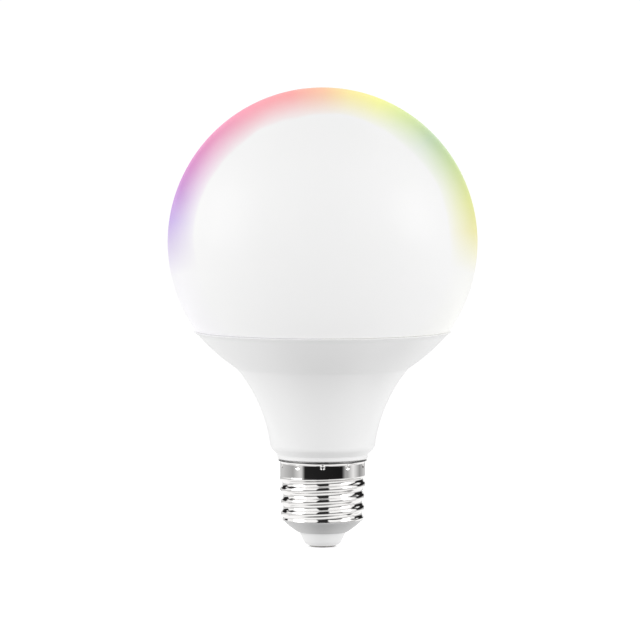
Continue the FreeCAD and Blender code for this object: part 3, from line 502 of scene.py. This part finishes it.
def opal():
    """Opal plastic that glows white, lit at its outline by the colour LEDs inside."""
    material, n, place, shader = start_material("opal_globe")
    geometry = n.add("ShaderNodeNewGeometry")
    normal = n.from_camera(geometry.outputs["Normal"], "NORMAL")
    position = n.from_camera(geometry.outputs["Position"], "POINT")
    clouds = n.noise(place, 1 / (22 * MM))
    fine = n.noise(place, 1 / (0.35 * MM))
    white = n.mix(clouds, grey(0.985), colour(1.0, 1.0, 0.998))
    strength = rim_strength(n, normal, position, clouds)
    tinted = n.mix(strength, white, rim_hue(n, normal))
    n.feed(shader.inputs["Base Color"], n.scaled(tinted, OPAL_WHITE))
    n.feed(shader.inputs["Emission Color"], tinted)
    n.feed(shader.inputs["Emission Strength"], GLOW)
    n.feed(shader.inputs["Roughness"], n.ramp(fine, 0.2, 0.8, 0.30, 0.36))
    n.feed(shader.inputs["Specular IOR Level"], 0.2)
    n.feed(shader.inputs["Subsurface Weight"], 0.25)
    n.feed(shader.inputs["Subsurface Radius"], (1.0, 0.95, 0.9))
    n.feed(shader.inputs["Subsurface Scale"], 1.2 * MM)
    bump(n, shader, fine, 0.0015 * MM)
    return material


def build_globe():
    """Ball cut off at the seam, with a rolled edge and the rim that hooks over the tongue."""
    inner = GLOBE_RADIUS - GLOBE_WALL
    rim = math.sqrt(GLOBE_RADIUS**2 - (RIM_Z - GLOBE_CENTRE) ** 2)
    bore = TONGUE[1] + 0.15 * MM
    hook_z = RIM_Z + HOOK_HEIGHT
    slope_z = hook_z + HOOK_SLOPE
    last = math.acos((RIM_Z + 0.25 * MM - GLOBE_CENTRE) / GLOBE_RADIUS)
    outside = [(0.0, GLOBE_CENTRE + GLOBE_RADIUS)]
    for i in range(1, GLOBE_ROWS + 1):
        polar = last * i / GLOBE_ROWS
        outside.append(
            (GLOBE_RADIUS * math.sin(polar), GLOBE_CENTRE + GLOBE_RADIUS * math.cos(polar))
        )
    edge = arc_through(outside[-1], (rim - 0.02 * MM, RIM_Z + 0.1 * MM), (rim - 0.2 * MM, RIM_Z), 4)
    foot = [(bore + 0.15 * MM, RIM_Z), (bore, RIM_Z + 0.15 * MM), (bore, hook_z)]
    inner_last = math.acos((slope_z - GLOBE_CENTRE) / inner)
    inside = [(math.sqrt(inner**2 - (slope_z - GLOBE_CENTRE) ** 2), slope_z)]
    for i in range(1, GLOBE_INNER_ROWS):
        polar = inner_last * (1 - i / GLOBE_INNER_ROWS)
        inside.append((inner * math.sin(polar), GLOBE_CENTRE + inner * math.cos(polar)))
    inside.append((0.0, GLOBE_CENTRE + inner))
    profile = faces_outwards(outside + edge + foot + inside)
    new_piece("globe_shell", lathe(profile, evenly(GLOBE_COLUMNS)), opal(), "globe")


# ---------------------------------------------------------------- housing
def circle_centre(low, high, radius, side):
    """Centre of the circle of this radius through two profile points, on one side of them."""
    run_r, run_z = high[0] - low[0], high[1] - low[1]
    length = math.hypot(run_r, run_z)
    away = side * math.sqrt(radius**2 - (length / 2) ** 2) / length
    return (low[0] + high[0]) / 2 + run_z * away, (low[1] + high[1]) / 2 - run_r * away


FLARE_CENTRE = circle_centre(WAIST, (SEAM_RADIUS, SEAM_Z), FLARE_CURVE, -1)
TRUMPET_CENTRE = circle_centre(NECK_TOP, WAIST, TRUMPET_CURVE, 1)


def flare_r(z, inset=0.0):
    reach = (FLARE_CURVE - inset) ** 2 - (z - FLARE_CENTRE[1]) ** 2
    return FLARE_CENTRE[0] + math.sqrt(max(reach, 0.0))


def trumpet_r(z, inset=0.0):
    reach = (TRUMPET_CURVE + inset) ** 2 - (z - TRUMPET_CENTRE[1]) ** 2
    return TRUMPET_CENTRE[0] - math.sqrt(reach)


def trumpet_side(low_z, high_z, inset, rows):
    """Points up the trumpet and the flare. Where the two meet, the crease is rounded off."""
    points = []
    for i in range(rows + 1):
        z = low_z + (high_z - low_z) * i / rows
        flare, trumpet = flare_r(z, inset), trumpet_r(z, inset)
        crease = WAIST_ROUNDING * math.log1p(math.exp(-abs(trumpet - flare) / WAIST_ROUNDING))
        points.append((max(flare, trumpet) + crease, z))
    return points


def neck_profile():
    """From the sleeve inside the shell, up the shoulder and the collar, to the trumpet's foot."""
    collar_top = (COLLAR[0], COLLAR[1] - 0.25 * MM)
    underside = (NECK_TOP[0] - 0.85 * MM, NECK_TOP[1] - 0.85 * MM)
    return [
        (NECK_SLEEVE[0], NECK_FOOT_Z),
        NECK_SLEEVE,
        NECK_SHOULDER,
        (NECK_SHOULDER[0], PUNCH_LOW - 0.1 * MM),
        (NECK_GROOVE, PUNCH_LOW + 0.1 * MM),
        (NECK_GROOVE, PUNCH_Z + PUNCH_RADIUS - 0.1 * MM),
        (NECK_SHOULDER[0], PUNCH_Z + PUNCH_RADIUS + 0.1 * MM),
        (NECK_SHOULDER[0], LIP_Z + 0.15 * MM),
        (COLLAR[0] - 0.25 * MM, LIP_Z + 0.15 * MM),
        (COLLAR[0], LIP_Z + 0.4 * MM),
        collar_top,
        *arc_through(
            collar_top,
            (COLLAR[0] + 0.08 * MM, COLLAR[1] + 0.03 * MM),
            (COLLAR[0] + 0.3 * MM, COLLAR[1] + 0.25 * MM),
            4,
        ),
        underside,
        *arc_through(
            underside,
            (NECK_TOP[0] - 0.13 * MM, NECK_TOP[1] + 0.05 * MM),
            (trumpet_r(NECK_ROUND_Z), NECK_ROUND_Z),
            8,
        ),
    ]


def rim_profile():
    """Across the seam, down and up the seal's groove, then over the tongue."""
    edge = flare_r(SEAM_Z)
    groove_inner, groove_outer = SEAL_RADIUS - 0.7 * MM, SEAL_RADIUS + 0.03 * MM
    groove_z = SEAM_Z - 0.4 * MM
    return [
        (edge - 0.02 * MM, SEAM_Z - 0.08 * MM),
        (edge - 0.12 * MM, SEAM_Z),
        (groove_outer, SEAM_Z),
        (groove_outer, groove_z),
        (groove_inner, groove_z),
        (groove_inner, SEAM_Z),
        (TONGUE[1], SEAM_Z),
        (TONGUE[1], TONGUE_TOP_Z - 1.2 * MM),
        (TONGUE[1] + SNAP, TONGUE_TOP_Z - 0.8 * MM),
        (TONGUE[1] + SNAP, TONGUE_TOP_Z - 0.5 * MM),
        (TONGUE[1], TONGUE_TOP_Z),
        (TONGUE[0], TONGUE_TOP_Z),
        (TONGUE[0], SEAM_Z - 1.0 * MM),
    ]


def build_housing():
    """Trumpet with tongue, seal groove and shoulder at the top and a stepped sleeve in the neck."""
    outside = trumpet_side(NECK_ROUND_Z + 0.3 * MM, SEAM_Z - 0.2 * MM, 0.0, HOUSING_ROWS)
    inside = trumpet_side(
        NECK_TOP[1] + 1.2 * MM, SEAM_Z - 1.3 * MM, HOUSING_WALL, HOUSING_INNER_ROWS
    )
    bore = [
        (14.4 * MM, NECK_TOP[1] + 0.3 * MM),
        (NECK_BORE, NECK_TOP[1] - 0.6 * MM),
        (NECK_BORE, NECK_FOOT_Z),
    ]
    profile = faces_outwards(neck_profile() + outside + rim_profile() + inside[::-1] + bore)
    white = plastic("white_housing", grey(0.90), 0.34, mottle=0.012)
    new_piece(
        "housing_body", lathe(profile, evenly(HOUSING_COLUMNS)), white, "housing"
    )


# ---------------------------------------------------------------- screw shell
def nickel():
    """Bright nickel plate on the skirt and thread; the taper below is left satin, and a dark band
    of painted shade runs round the lip's edge, where the shadow gap under the lip falls."""
    material, n, place, shader = start_material("nickel_plate")
    height = n.add("ShaderNodeSeparateXYZ", {"Vector": place}).outputs[2]
    satin = n.ramp(height, TAPER[1][1], TAPER[0][1], 1.0, 0.0)
    # painted shade: the lip's edge is painted near black, standing in for the shadow gap and dark
    # reflection under the lip
    lip_painted_shade = n.window(height, LIP_Z - LIP_EDGE, LIP_Z - 0.12 * MM, 0.03 * MM)
    rolled = n.noise(n.stretched(place, (0.06, 0.06, 1.0)), 1 / (0.09 * MM), 3.0)
    smudge = n.noise(place, 1 / (3.5 * MM), 4.0, 0.6)
    bright = n.mix(smudge, colour(0.80, 0.79, 0.78), colour(0.88, 0.87, 0.86))
    dull = n.mix(rolled, grey(0.54), grey(0.62))
    polished = n.ramp(smudge, 0.35, 0.75, 0.02, 0.05)
    brushed = n.ramp(rolled, 0.3, 0.7, 0.34, 0.48)
    n.feed(shader.inputs["Metallic"], n.ramp(satin, 0.0, 1.0, 1.0, 0.3))
    n.feed(shader.inputs["Base Color"], n.mix(lip_painted_shade, n.mix(satin, bright, dull), grey(0.10)))
    n.feed(shader.inputs["Roughness"], n.between(satin, polished, brushed))
    bump(n, shader, n.maths("MULTIPLY", rolled, satin), 0.0012 * MM)
    return material


def thread_r(angle, z):
    """Radius of the rounded thread: arcs of one radius, a crest and a root to each pitch."""
    half = PITCH / 2
    depth = CREST - ROOT
    arc = (half**2 + depth**2) / (4 * depth)
    turn = (z - CREST_Z) / PITCH - angle / math.tau
    from_crest = abs(turn - round(turn)) * PITCH
    if from_crest < half / 2:
        return CREST - arc + math.sqrt(arc**2 - from_crest**2)
    return ROOT + arc - math.sqrt(arc**2 - (half - from_crest) ** 2)


def thread_share(z):
    """How much of the thread there is at a height: it fades in at the foot and out at the top."""
    from_foot = (z - THREAD_FOOT_Z) / THREAD_FOOT_FADE
    from_top = (THREAD_END_Z - z) / THREAD_TOP_FADE
    share = min(max(min(from_foot, from_top), 0.0), 1.0)
    return share * share * (3 - 2 * share)


def plain_tube(z):
    """Outer radius of the threaded tube where the thread has run out."""
    upper = (z - THREAD_FOOT_Z) / (THREAD_TOP_Z - THREAD_FOOT_Z)
    return TAPER[0][0] + (SKIRT - TAPER[0][0]) * min(max(2 * upper - 0.5, 0), 1)


def punch_dent(angle, z):
    """How far the skirt is pressed in at a point: one mark straight in front, the rest evenly."""
    step = math.tau / PUNCHES
    off = (angle + math.pi / 2 + step / 2) % step - step / 2
    away = math.hypot(off * SKIRT, z - PUNCH_Z) / PUNCH_RADIUS
    if away >= 1:
        return 0.0
    side = max(away - PUNCH_FLAT, 0.0) / (1 - PUNCH_FLAT)
    return PUNCH_DEPTH * (0.5 + 0.5 * math.cos(math.pi * side))


def shell_surface(angle, radius, z):
    """The shell's own shape: thread between its two ends, and a dent at each punch."""
    if THREAD_FOOT_Z < z < THREAD_TOP_Z:
        inset = 0.0 if radius > SKIRT - SHEET / 2 else SHEET
        share = thread_share(z)
        radius = share * (thread_r(angle, z) - inset) + (1 - share) * radius
    elif abs(z - PUNCH_Z) < PUNCH_RADIUS:
        radius -= punch_dent(angle, z)
    return radius, z


def shell_angles():
    """Angles of the shell's columns, closer together at the punch marks."""
    step = math.tau / PUNCHES
    mark = math.radians(10.0)
    angles = []
    for k in range(PUNCHES):
        start = k * step - math.pi / 2 - mark / 2
        angles += [start + mark * i / PUNCH_COLUMNS for i in range(PUNCH_COLUMNS)]
        angles += [start + mark + (step - mark) * i / SKIRT_COLUMNS for i in range(SKIRT_COLUMNS)]
    return angles


def lip_profile():
    """Up the inside of the flare, over the lip's edge and down the outside of the flare."""
    return [
        (SKIRT - SHEET, FLARE_FOOT_Z),
        *arc_through(
            (SKIRT - SHEET, FLARE_FOOT_Z),
            (SKIRT - 0.17 * MM, FLARE_FOOT_Z + 0.58 * MM),
            (LIP_RADIUS - 0.34 * MM, LIP_Z - 0.06 * MM),
            8,
        ),
        (LIP_RADIUS - 0.26 * MM, LIP_Z),
        (LIP_RADIUS - 0.1 * MM, LIP_Z - 0.03 * MM),
        (LIP_RADIUS - 0.02 * MM, LIP_Z - 0.1 * MM),
        (LIP_RADIUS, LIP_Z - 0.18 * MM),
        (LIP_RADIUS, LIP_Z - 0.42 * MM),
        (LIP_RADIUS - 0.03 * MM, LIP_Z - 0.48 * MM),
        (LIP_RADIUS - 0.1 * MM, LIP_Z - LIP_EDGE),
        (LIP_RADIUS - 0.26 * MM, LIP_Z - LIP_EDGE),
        *arc_through(
            (LIP_RADIUS - 0.3 * MM, LIP_Z - 0.54 * MM),
            (SKIRT + 0.07 * MM, FLARE_FOOT_Z + 0.37 * MM),
            (SKIRT, FLARE_FOOT_Z),
            9,
        ),
    ]


def taper_profile(start):
    """Down the outside of the taper, round its edge, and up the inside to the thread."""
    shoulder, middle, foot, edge = TAPER[2:]
    inside_foot = (edge[0] - 0.1 * MM, edge[1] + 0.28 * MM)
    return [
        *arc_through(start, TAPER[1], shoulder, 5),
        *arc_through(shoulder, middle, foot, 10),
        *arc_through(foot, (7.65 * MM, 4.53 * MM), edge, 4),
        inside_foot,
        *arc_through(
            inside_foot,
            (middle[0] - 0.19 * MM, middle[1] + 0.24 * MM),
            (shoulder[0] - 0.19 * MM, shoulder[1] + 0.24 * MM),
            6,
        ),
    ]


def downwards(high, low, rows):
    """Heights from high to low in even steps, without the first."""
    return [high - (high - low) * (i + 1) / rows for i in range(rows)]


def build_shell():
    """Rolled screw shell, from the flared lip down to the edge of the taper, inside and out."""
    punched = downwards(FLARE_FOOT_Z, PUNCH_LOW, PUNCH_ROWS)
    plain = downwards(PUNCH_LOW, THREAD_TOP_Z, SKIRT_ROWS)
    skirt = [(SKIRT, z) for z in punched + plain]
    thread = [(plain_tube(z), z) for z in downwards(THREAD_TOP_Z, THREAD_FOOT_Z, THREAD_ROWS)]
    inside = []
    for i in range(THREAD_INNER_ROWS + 1):
        z = THREAD_FOOT_Z + (THREAD_TOP_Z - THREAD_FOOT_Z) * i / THREAD_INNER_ROWS
        inside.append((plain_tube(z) - SHEET, z))
    inside += [(SKIRT - SHEET, z) for z in plain[::-1] + punched[-2::-3]]
    profile = faces_outwards(lip_profile() + skirt + thread + taper_profile(thread[-1]) + inside)
    turned = lathe(profile, shell_angles(), shell_surface)
    new_piece("screw_shell", turned, nickel(), "cap_shell", sharp=60)


# ---------------------------------------------------------------- insulator and contact
def build_insulator():
    """White cone that closes the shell, with a fine moulded step next to the contact."""
    low = INSULATOR_FOOT_Z
    step = (4.45 * MM, low - 0.14 * MM)
    edge = (7.07 * MM, 4.5 * MM)
    bore = 1.73 * MM
    well = 3.2 * MM
    inner = 10.3 * MM
    profile = [
        (bore, low),
        (4.15 * MM, low),
        (4.2 * MM, low - 0.12 * MM),
        step,
        *arc_through(step, (5.45 * MM, 1.15 * MM), (6.0 * MM, 2.0 * MM), 10),
        (6.45 * MM, 2.95 * MM),
        (6.95 * MM, 4.1 * MM),
        edge,
        *arc_through(edge, (9.46 * MM, 6.22 * MM), (11.62 * MM, 8.14 * MM), 8),
        (11.5 * MM, 8.3 * MM),
        (inner, 8.3 * MM),
        (inner, 7.7 * MM),
        (8.0 * MM, 5.8 * MM),
        (well, 5.8 * MM),
        (well, 6.4 * MM),
        (bore, 6.4 * MM),
    ]
    profile = faces_outwards(round_corners(profile, 0.12 * MM))
    white = plastic("white_insulator", grey(0.90), 0.4)
    turned = lathe(profile, evenly(INSULATOR_COLUMNS))
    new_piece("insulator_cone", turned, white, "cap_insulator")


def build_contact():
    """Pressed button: flat face, rounded edge, and a stem riveted over inside the insulator."""
    edge = (3.55 * MM, 0.02 * MM)
    stem = 1.7 * MM
    rivet = (2.4 * MM, 6.5 * MM)
    hollow = 0.9 * MM
    profile = [
        (0.0, 0.0),
        (2.9 * MM, 0.0),
        edge,
        *arc_through(edge, (3.97 * MM, 0.12 * MM), (CONTACT_RADIUS, 0.36 * MM), 7),
        (CONTACT_RADIUS, 0.52 * MM),
        (CONTACT_RADIUS - 0.05 * MM, 0.55 * MM),
        (stem, 0.55 * MM),
        (stem, 6.43 * MM),
        rivet,
        *arc_through(rivet, (2.35 * MM, 6.85 * MM), (1.9 * MM, 7.2 * MM), 5),
        (hollow, 7.2 * MM),
        (hollow, 1.2 * MM),
        (0.0, 1.2 * MM),
    ]
    turned = lathe(faces_outwards(profile), evenly(CONTACT_COLUMNS))
    tinned = metal("tinned_contact", colour(0.30, 0.29, 0.28), 0.28, line=0.2 * MM)
    new_piece("contact_button", turned, tinned, "centre_contact")


# ---------------------------------------------------------------- pieces that keep their CAD shape
DRAWN_DOWN = (1.0, 1.0, 0.08)
ROLLED_ACROSS = (0.1, 1.0, 1.0)
FINISHES = {  # material slot: kind of material, its colours, then its roughness and grain
    "white_silicone": (plastic, colour(0.88, 0.88, 0.87), 0.5, 0.5 * MM),
    "drawn_aluminium": (metal, colour(0.80, 0.80, 0.81), 0.3, DRAWN_DOWN),
    "grey_pad": (dotted, colour(0.50, 0.52, 0.54), colour(0.62, 0.64, 0.66), 2000, 0.7),
    "white_solder_mask": (board, colour(0.86, 0.86, 0.85)),
    "screw_steel": (metal, grey(0.66), 0.28),
    "led_case": (plastic, colour(0.90, 0.90, 0.88), 0.5, 0.1 * MM),
    "cool_phosphor": (dotted, colour(0.90, 0.82, 0.22), colour(0.98, 0.92, 0.40), 9000, 0.4),
    "warm_phosphor": (dotted, colour(0.90, 0.52, 0.08), colour(0.98, 0.66, 0.18), 9000, 0.4),
    "clear_window": (plastic, colour(0.70, 0.72, 0.74), 0.12, 0.3 * MM),
    "green_board": (board, colour(0.02, 0.14, 0.05)),
    "tinned_wire": (metal, colour(0.72, 0.72, 0.71), 0.25),
    "solder": (metal, colour(0.70, 0.71, 0.73), 0.18, (1.0, 1.0, 1.0), 0.5 * MM),
    "pin_brass": (metal, colour(0.85, 0.62, 0.25), 0.25),
    "black_plastic": (plastic, grey(0.02), 0.45),
    "capacitor_sleeve": (plastic, colour(0.012, 0.014, 0.02), 0.3, 0.6 * MM),
    "black_rubber": (plastic, grey(0.02), 0.7, 0.15 * MM),
    "yellow_box": (plastic, colour(0.72, 0.48, 0.03), 0.35),
    "blue_ceramic": (plastic, colour(0.02, 0.08, 0.30), 0.3, 0.8 * MM, 0.03 * MM),
    "ferrite": (dotted, colour(0.02, 0.02, 0.022), colour(0.06, 0.06, 0.065), 6000, 0.5),
    # copper_wire's second colour is painted shade for the grooves between turns
    "copper_wire": (windings, colour(0.62, 0.22, 0.08), colour(0.10, 0.03, 0.01), 0.3 * MM),
    "yellow_tape": (plastic, colour(0.80, 0.55, 0.05), 0.22, 1.2 * MM),
    "fuse_ceramic": (plastic, colour(0.17, 0.32, 0.21), 0.4, 0.5 * MM),
    "clear_sleeve": (plastic, grey(0.03), 0.35, 0.9 * MM),
    "chip_plastic": (plastic, colour(0.016, 0.016, 0.018), 0.5, 0.08 * MM),
    "chip_ceramic": (dotted, colour(0.30, 0.20, 0.11), colour(0.36, 0.26, 0.16), 8000, 0.5),
    "blue_board": (board, colour(0.01, 0.03, 0.14), 0.2 * MM),
    "shield_steel": (metal, colour(0.72, 0.72, 0.73), 0.24, ROLLED_ACROSS),
    "gold_track": (metal, colour(0.88, 0.62, 0.26), 0.3),
    "red_cover": (plastic, colour(0.38, 0.01, 0.01), 0.35),
    "blue_cover": (plastic, colour(0.01, 0.03, 0.28), 0.35),
}


def dress_inner_pieces():
    """One material for each slot, on every CAD node whose record names that slot."""
    made = {}
    for part in frame["record"]["subparts"]:
        slot = part["material_slot"]
        if slot not in FINISHES:
            continue
        if slot not in made:
            kind, *values = FINISHES[slot]
            made[slot] = kind(slot, *values)
        mesh = frame["nodes"][part["node"]].data
        mesh.materials.clear()
        mesh.materials.append(made[slot])
        smooth(mesh, 32)


# ---------------------------------------------------------------- studio
# Directions are in degrees: azimuth 0 is the camera's side and 90 is to the right, up 0 is level.
FLOOR_SIZE = 8.0
WALL = (  # azimuth, and how bright the studio's wall is there at the lamp's height
    (-180, grey(0.62)),
    (-132, grey(0.64)),
    (-88, grey(0.42)),
    (-66, grey(0.80)),
    (60, grey(0.45)),
    (71, grey(0.42)),
    (92, grey(0.95)),
    (120, grey(0.34)),
    (146, grey(0.60)),
    (180, grey(0.62)),
)
WALL_BAND = (-11, 2, 2)  # low, high and soft edge of the wall
OPEN_LEVEL = 1.12  # brightness of the studio above and below the wall
ALL_ROUND = (-200, 200, 1)
BEHIND_CAMERA = (-18, 18, 3)
DARK_PANELS = (  # (low, high, soft edge) in azimuth, the same upwards, and how dark
    ((-55, 60, 7), (-12, 6, 4), 0.975),  # strip on the camera's side
    (BEHIND_CAMERA, (-14, 58, 4), 0.975),  # column
    (BEHIND_CAMERA, (-30, -12, 4), 0.6),  # foot of the column
    ((-117, 117, 5), (-28, -20, 2), 0.6),  # low line
    ((-161, -124, 3), (5, 25, 2), 0.985),  # left, behind the lamp
    ((-152, -110, 4), (28, 46, 3), 0.96),  # left, higher up
    ((107, 161, 4), (0, 27, 3), 0.985),  # right, behind the lamp
    ((104, 125, 4), (24, 54, 3), 0.97),  # right, higher up
    ((107, 141, 4), (-60, -41, 3), 0.9),  # right, low down
    (ALL_ROUND, (61.5, 200, 8.5), 0.9),  # ceiling
    (ALL_ROUND, (-200, -66, 10), 0.92),  # floor
)
SOFT_LEVEL = 0.895  # brightness of the studio for matt surfaces
LOW_FRONT_SHADE = 0.58
CEILING_SHADE = 0.5
BACKDROP = 1.05
SOFTBOX_DISTANCE = 1.1
SOFTBOXES = (  # name, azimuth, elevation, side in metres, watts
    ("softbox_left", -76, 17, 0.72, 3.2),
    ("softbox_right", 71, 18, 0.56, 2.8),
)
CAMERA_DISTANCE = 1.5
CAMERA_ELEVATION = 3.5
CAMERA_LENS = 275.0
AIM = Vector((-0.8 * MM, 0.0, cad_box[0].z + 69.7 * MM))


def build_floor():
    """Pale floor under the contact. It looks white, with only the lamp's soft shadow on it."""
    mesh = bpy.data.meshes.new("floor")
    half = FLOOR_SIZE / 2
    corners = [(-half, -half, 0), (half, -half, 0), (half, half, 0), (-half, half, 0)]
    mesh.from_pydata(corners, [], [(0, 1, 2, 3)])
    floor = bpy.data.objects.new("floor", mesh)
    bpy.context.scene.collection.objects.link(floor)
    floor.location.z = cad_box[0].z - 0.05 * MM
    floor.visible_glossy = False
    floor.visible_diffuse = False
    material, n, place, shader = start_material("pale_floor")
    n.feed(shader.inputs["Base Color"], grey(0.9))
    n.feed(shader.inputs["Roughness"], 1.0)
    n.feed(shader.inputs["Specular IOR Level"], 0.0)
    n.feed(shader.inputs["Emission Color"], grey(1.0))
    n.feed(shader.inputs["Emission Strength"], 0.35)
    mesh.materials.append(material)


def studio_for_shine(n, azimuth, up):
    """Brightness of the studio as shiny surfaces see it: pale, with a grey wall and dark panels."""
    dark = 0.0
    for across, upwards, darkness in DARK_PANELS:
        panel = n.maths("MULTIPLY", n.window(azimuth, *across), n.window(up, *upwards))
        dark = n.maths("MAXIMUM", dark, n.maths("MULTIPLY", panel, darkness))
    level = n.between(n.window(up, *WALL_BAND), OPEN_LEVEL, n.gradient(azimuth, WALL))
    return n.maths("MULTIPLY", level, n.maths("SUBTRACT", 1.0, dark))


def studio_for_matt(n, azimuth, up):
    """Brightness of the studio as matt surfaces see it: darker low in front, and overhead."""
    front = n.ramp(n.maths("ABSOLUTE", azimuth), 40, 130, 1.0, 0.0)
    low_front = n.maths("MULTIPLY", front, n.ramp(up, -80, -20, 1.0, 0.0))
    level = n.maths("SUBTRACT", SOFT_LEVEL, n.maths("MULTIPLY", low_front, LOW_FRONT_SHADE))
    return n.maths("SUBTRACT", level, n.ramp(up, 45, 75, 0.0, CEILING_SHADE))


def build_world():
    """White studio all round, which camera rays, shiny surfaces and matt surfaces see apart."""
    world = bpy.data.worlds.new("studio")
    bpy.context.scene.world = world
    world.use_nodes = True
    n = Nodes(world.node_tree)
    toward = n.add("ShaderNodeTexCoord").outputs["Generated"]
    x, y, z = n.add("ShaderNodeSeparateXYZ", {"Vector": toward}).outputs
    azimuth = n.maths("DEGREES", n.maths("ARCTAN2", x, n.maths("MULTIPLY", y, -1.0)))
    up = n.maths("DEGREES", n.maths("ARCSINE", z))
    shine = studio_for_shine(n, azimuth, up)
    matt = studio_for_matt(n, azimuth, up)
    path = n.add("ShaderNodeLightPath").outputs
    bounced = n.between(path["Is Glossy Ray"], matt, shine)
    seen = n.between(path["Is Camera Ray"], bounced, BACKDROP)
    back = n.add("ShaderNodeBackground", {"Color": grey(1.0), "Strength": seen})
    n.add("ShaderNodeOutputWorld", {"Surface": back.outputs[0]})


def build_softbox(name, azimuth, elevation, size, watts):
    """A square light that faces the lamp."""
    data = bpy.data.lights.new(name, "AREA")
    data.shape = "SQUARE"
    data.size = size
    data.energy = watts
    light = bpy.data.objects.new(name, data)
    bpy.context.scene.collection.objects.link(light)
    a, e = math.radians(azimuth), math.radians(elevation)
    out = Vector((math.sin(a) * math.cos(e), -math.cos(a) * math.cos(e), math.sin(e)))
    middle = (cad_box[0] + cad_box[1]) / 2
    light.location = middle + out * SOFTBOX_DISTANCE
    light.rotation_euler = out.to_track_quat("Z", "Y").to_euler()
    light.visible_camera = False


def build_camera():
    data = bpy.data.cameras.new("camera")
    data.lens = CAMERA_LENS
    data.sensor_width = 36.0
    data.clip_start = 0.05
    data.clip_end = 50.0
    camera = bpy.data.objects.new("camera", data)
    bpy.context.scene.collection.objects.link(camera)
    e = math.radians(CAMERA_ELEVATION)
    back = Vector((0.0, -math.cos(e), math.sin(e)))
    camera.location = AIM + back * CAMERA_DISTANCE
    camera.rotation_euler = (-back).to_track_quat("-Z", "Y").to_euler()
    bpy.context.scene.camera = camera


# ---------------------------------------------------------------- the whole scene
build_globe()
build_housing()
build_shell()
build_insulator()
build_contact()
dress_inner_pieces()
build_floor()
build_world()
for softbox in SOFTBOXES:
    build_softbox(*softbox)
build_camera()
bpy.context.scene.view_settings.view_transform = "Standard"
bpy.context.scene.view_settings.look = "None"
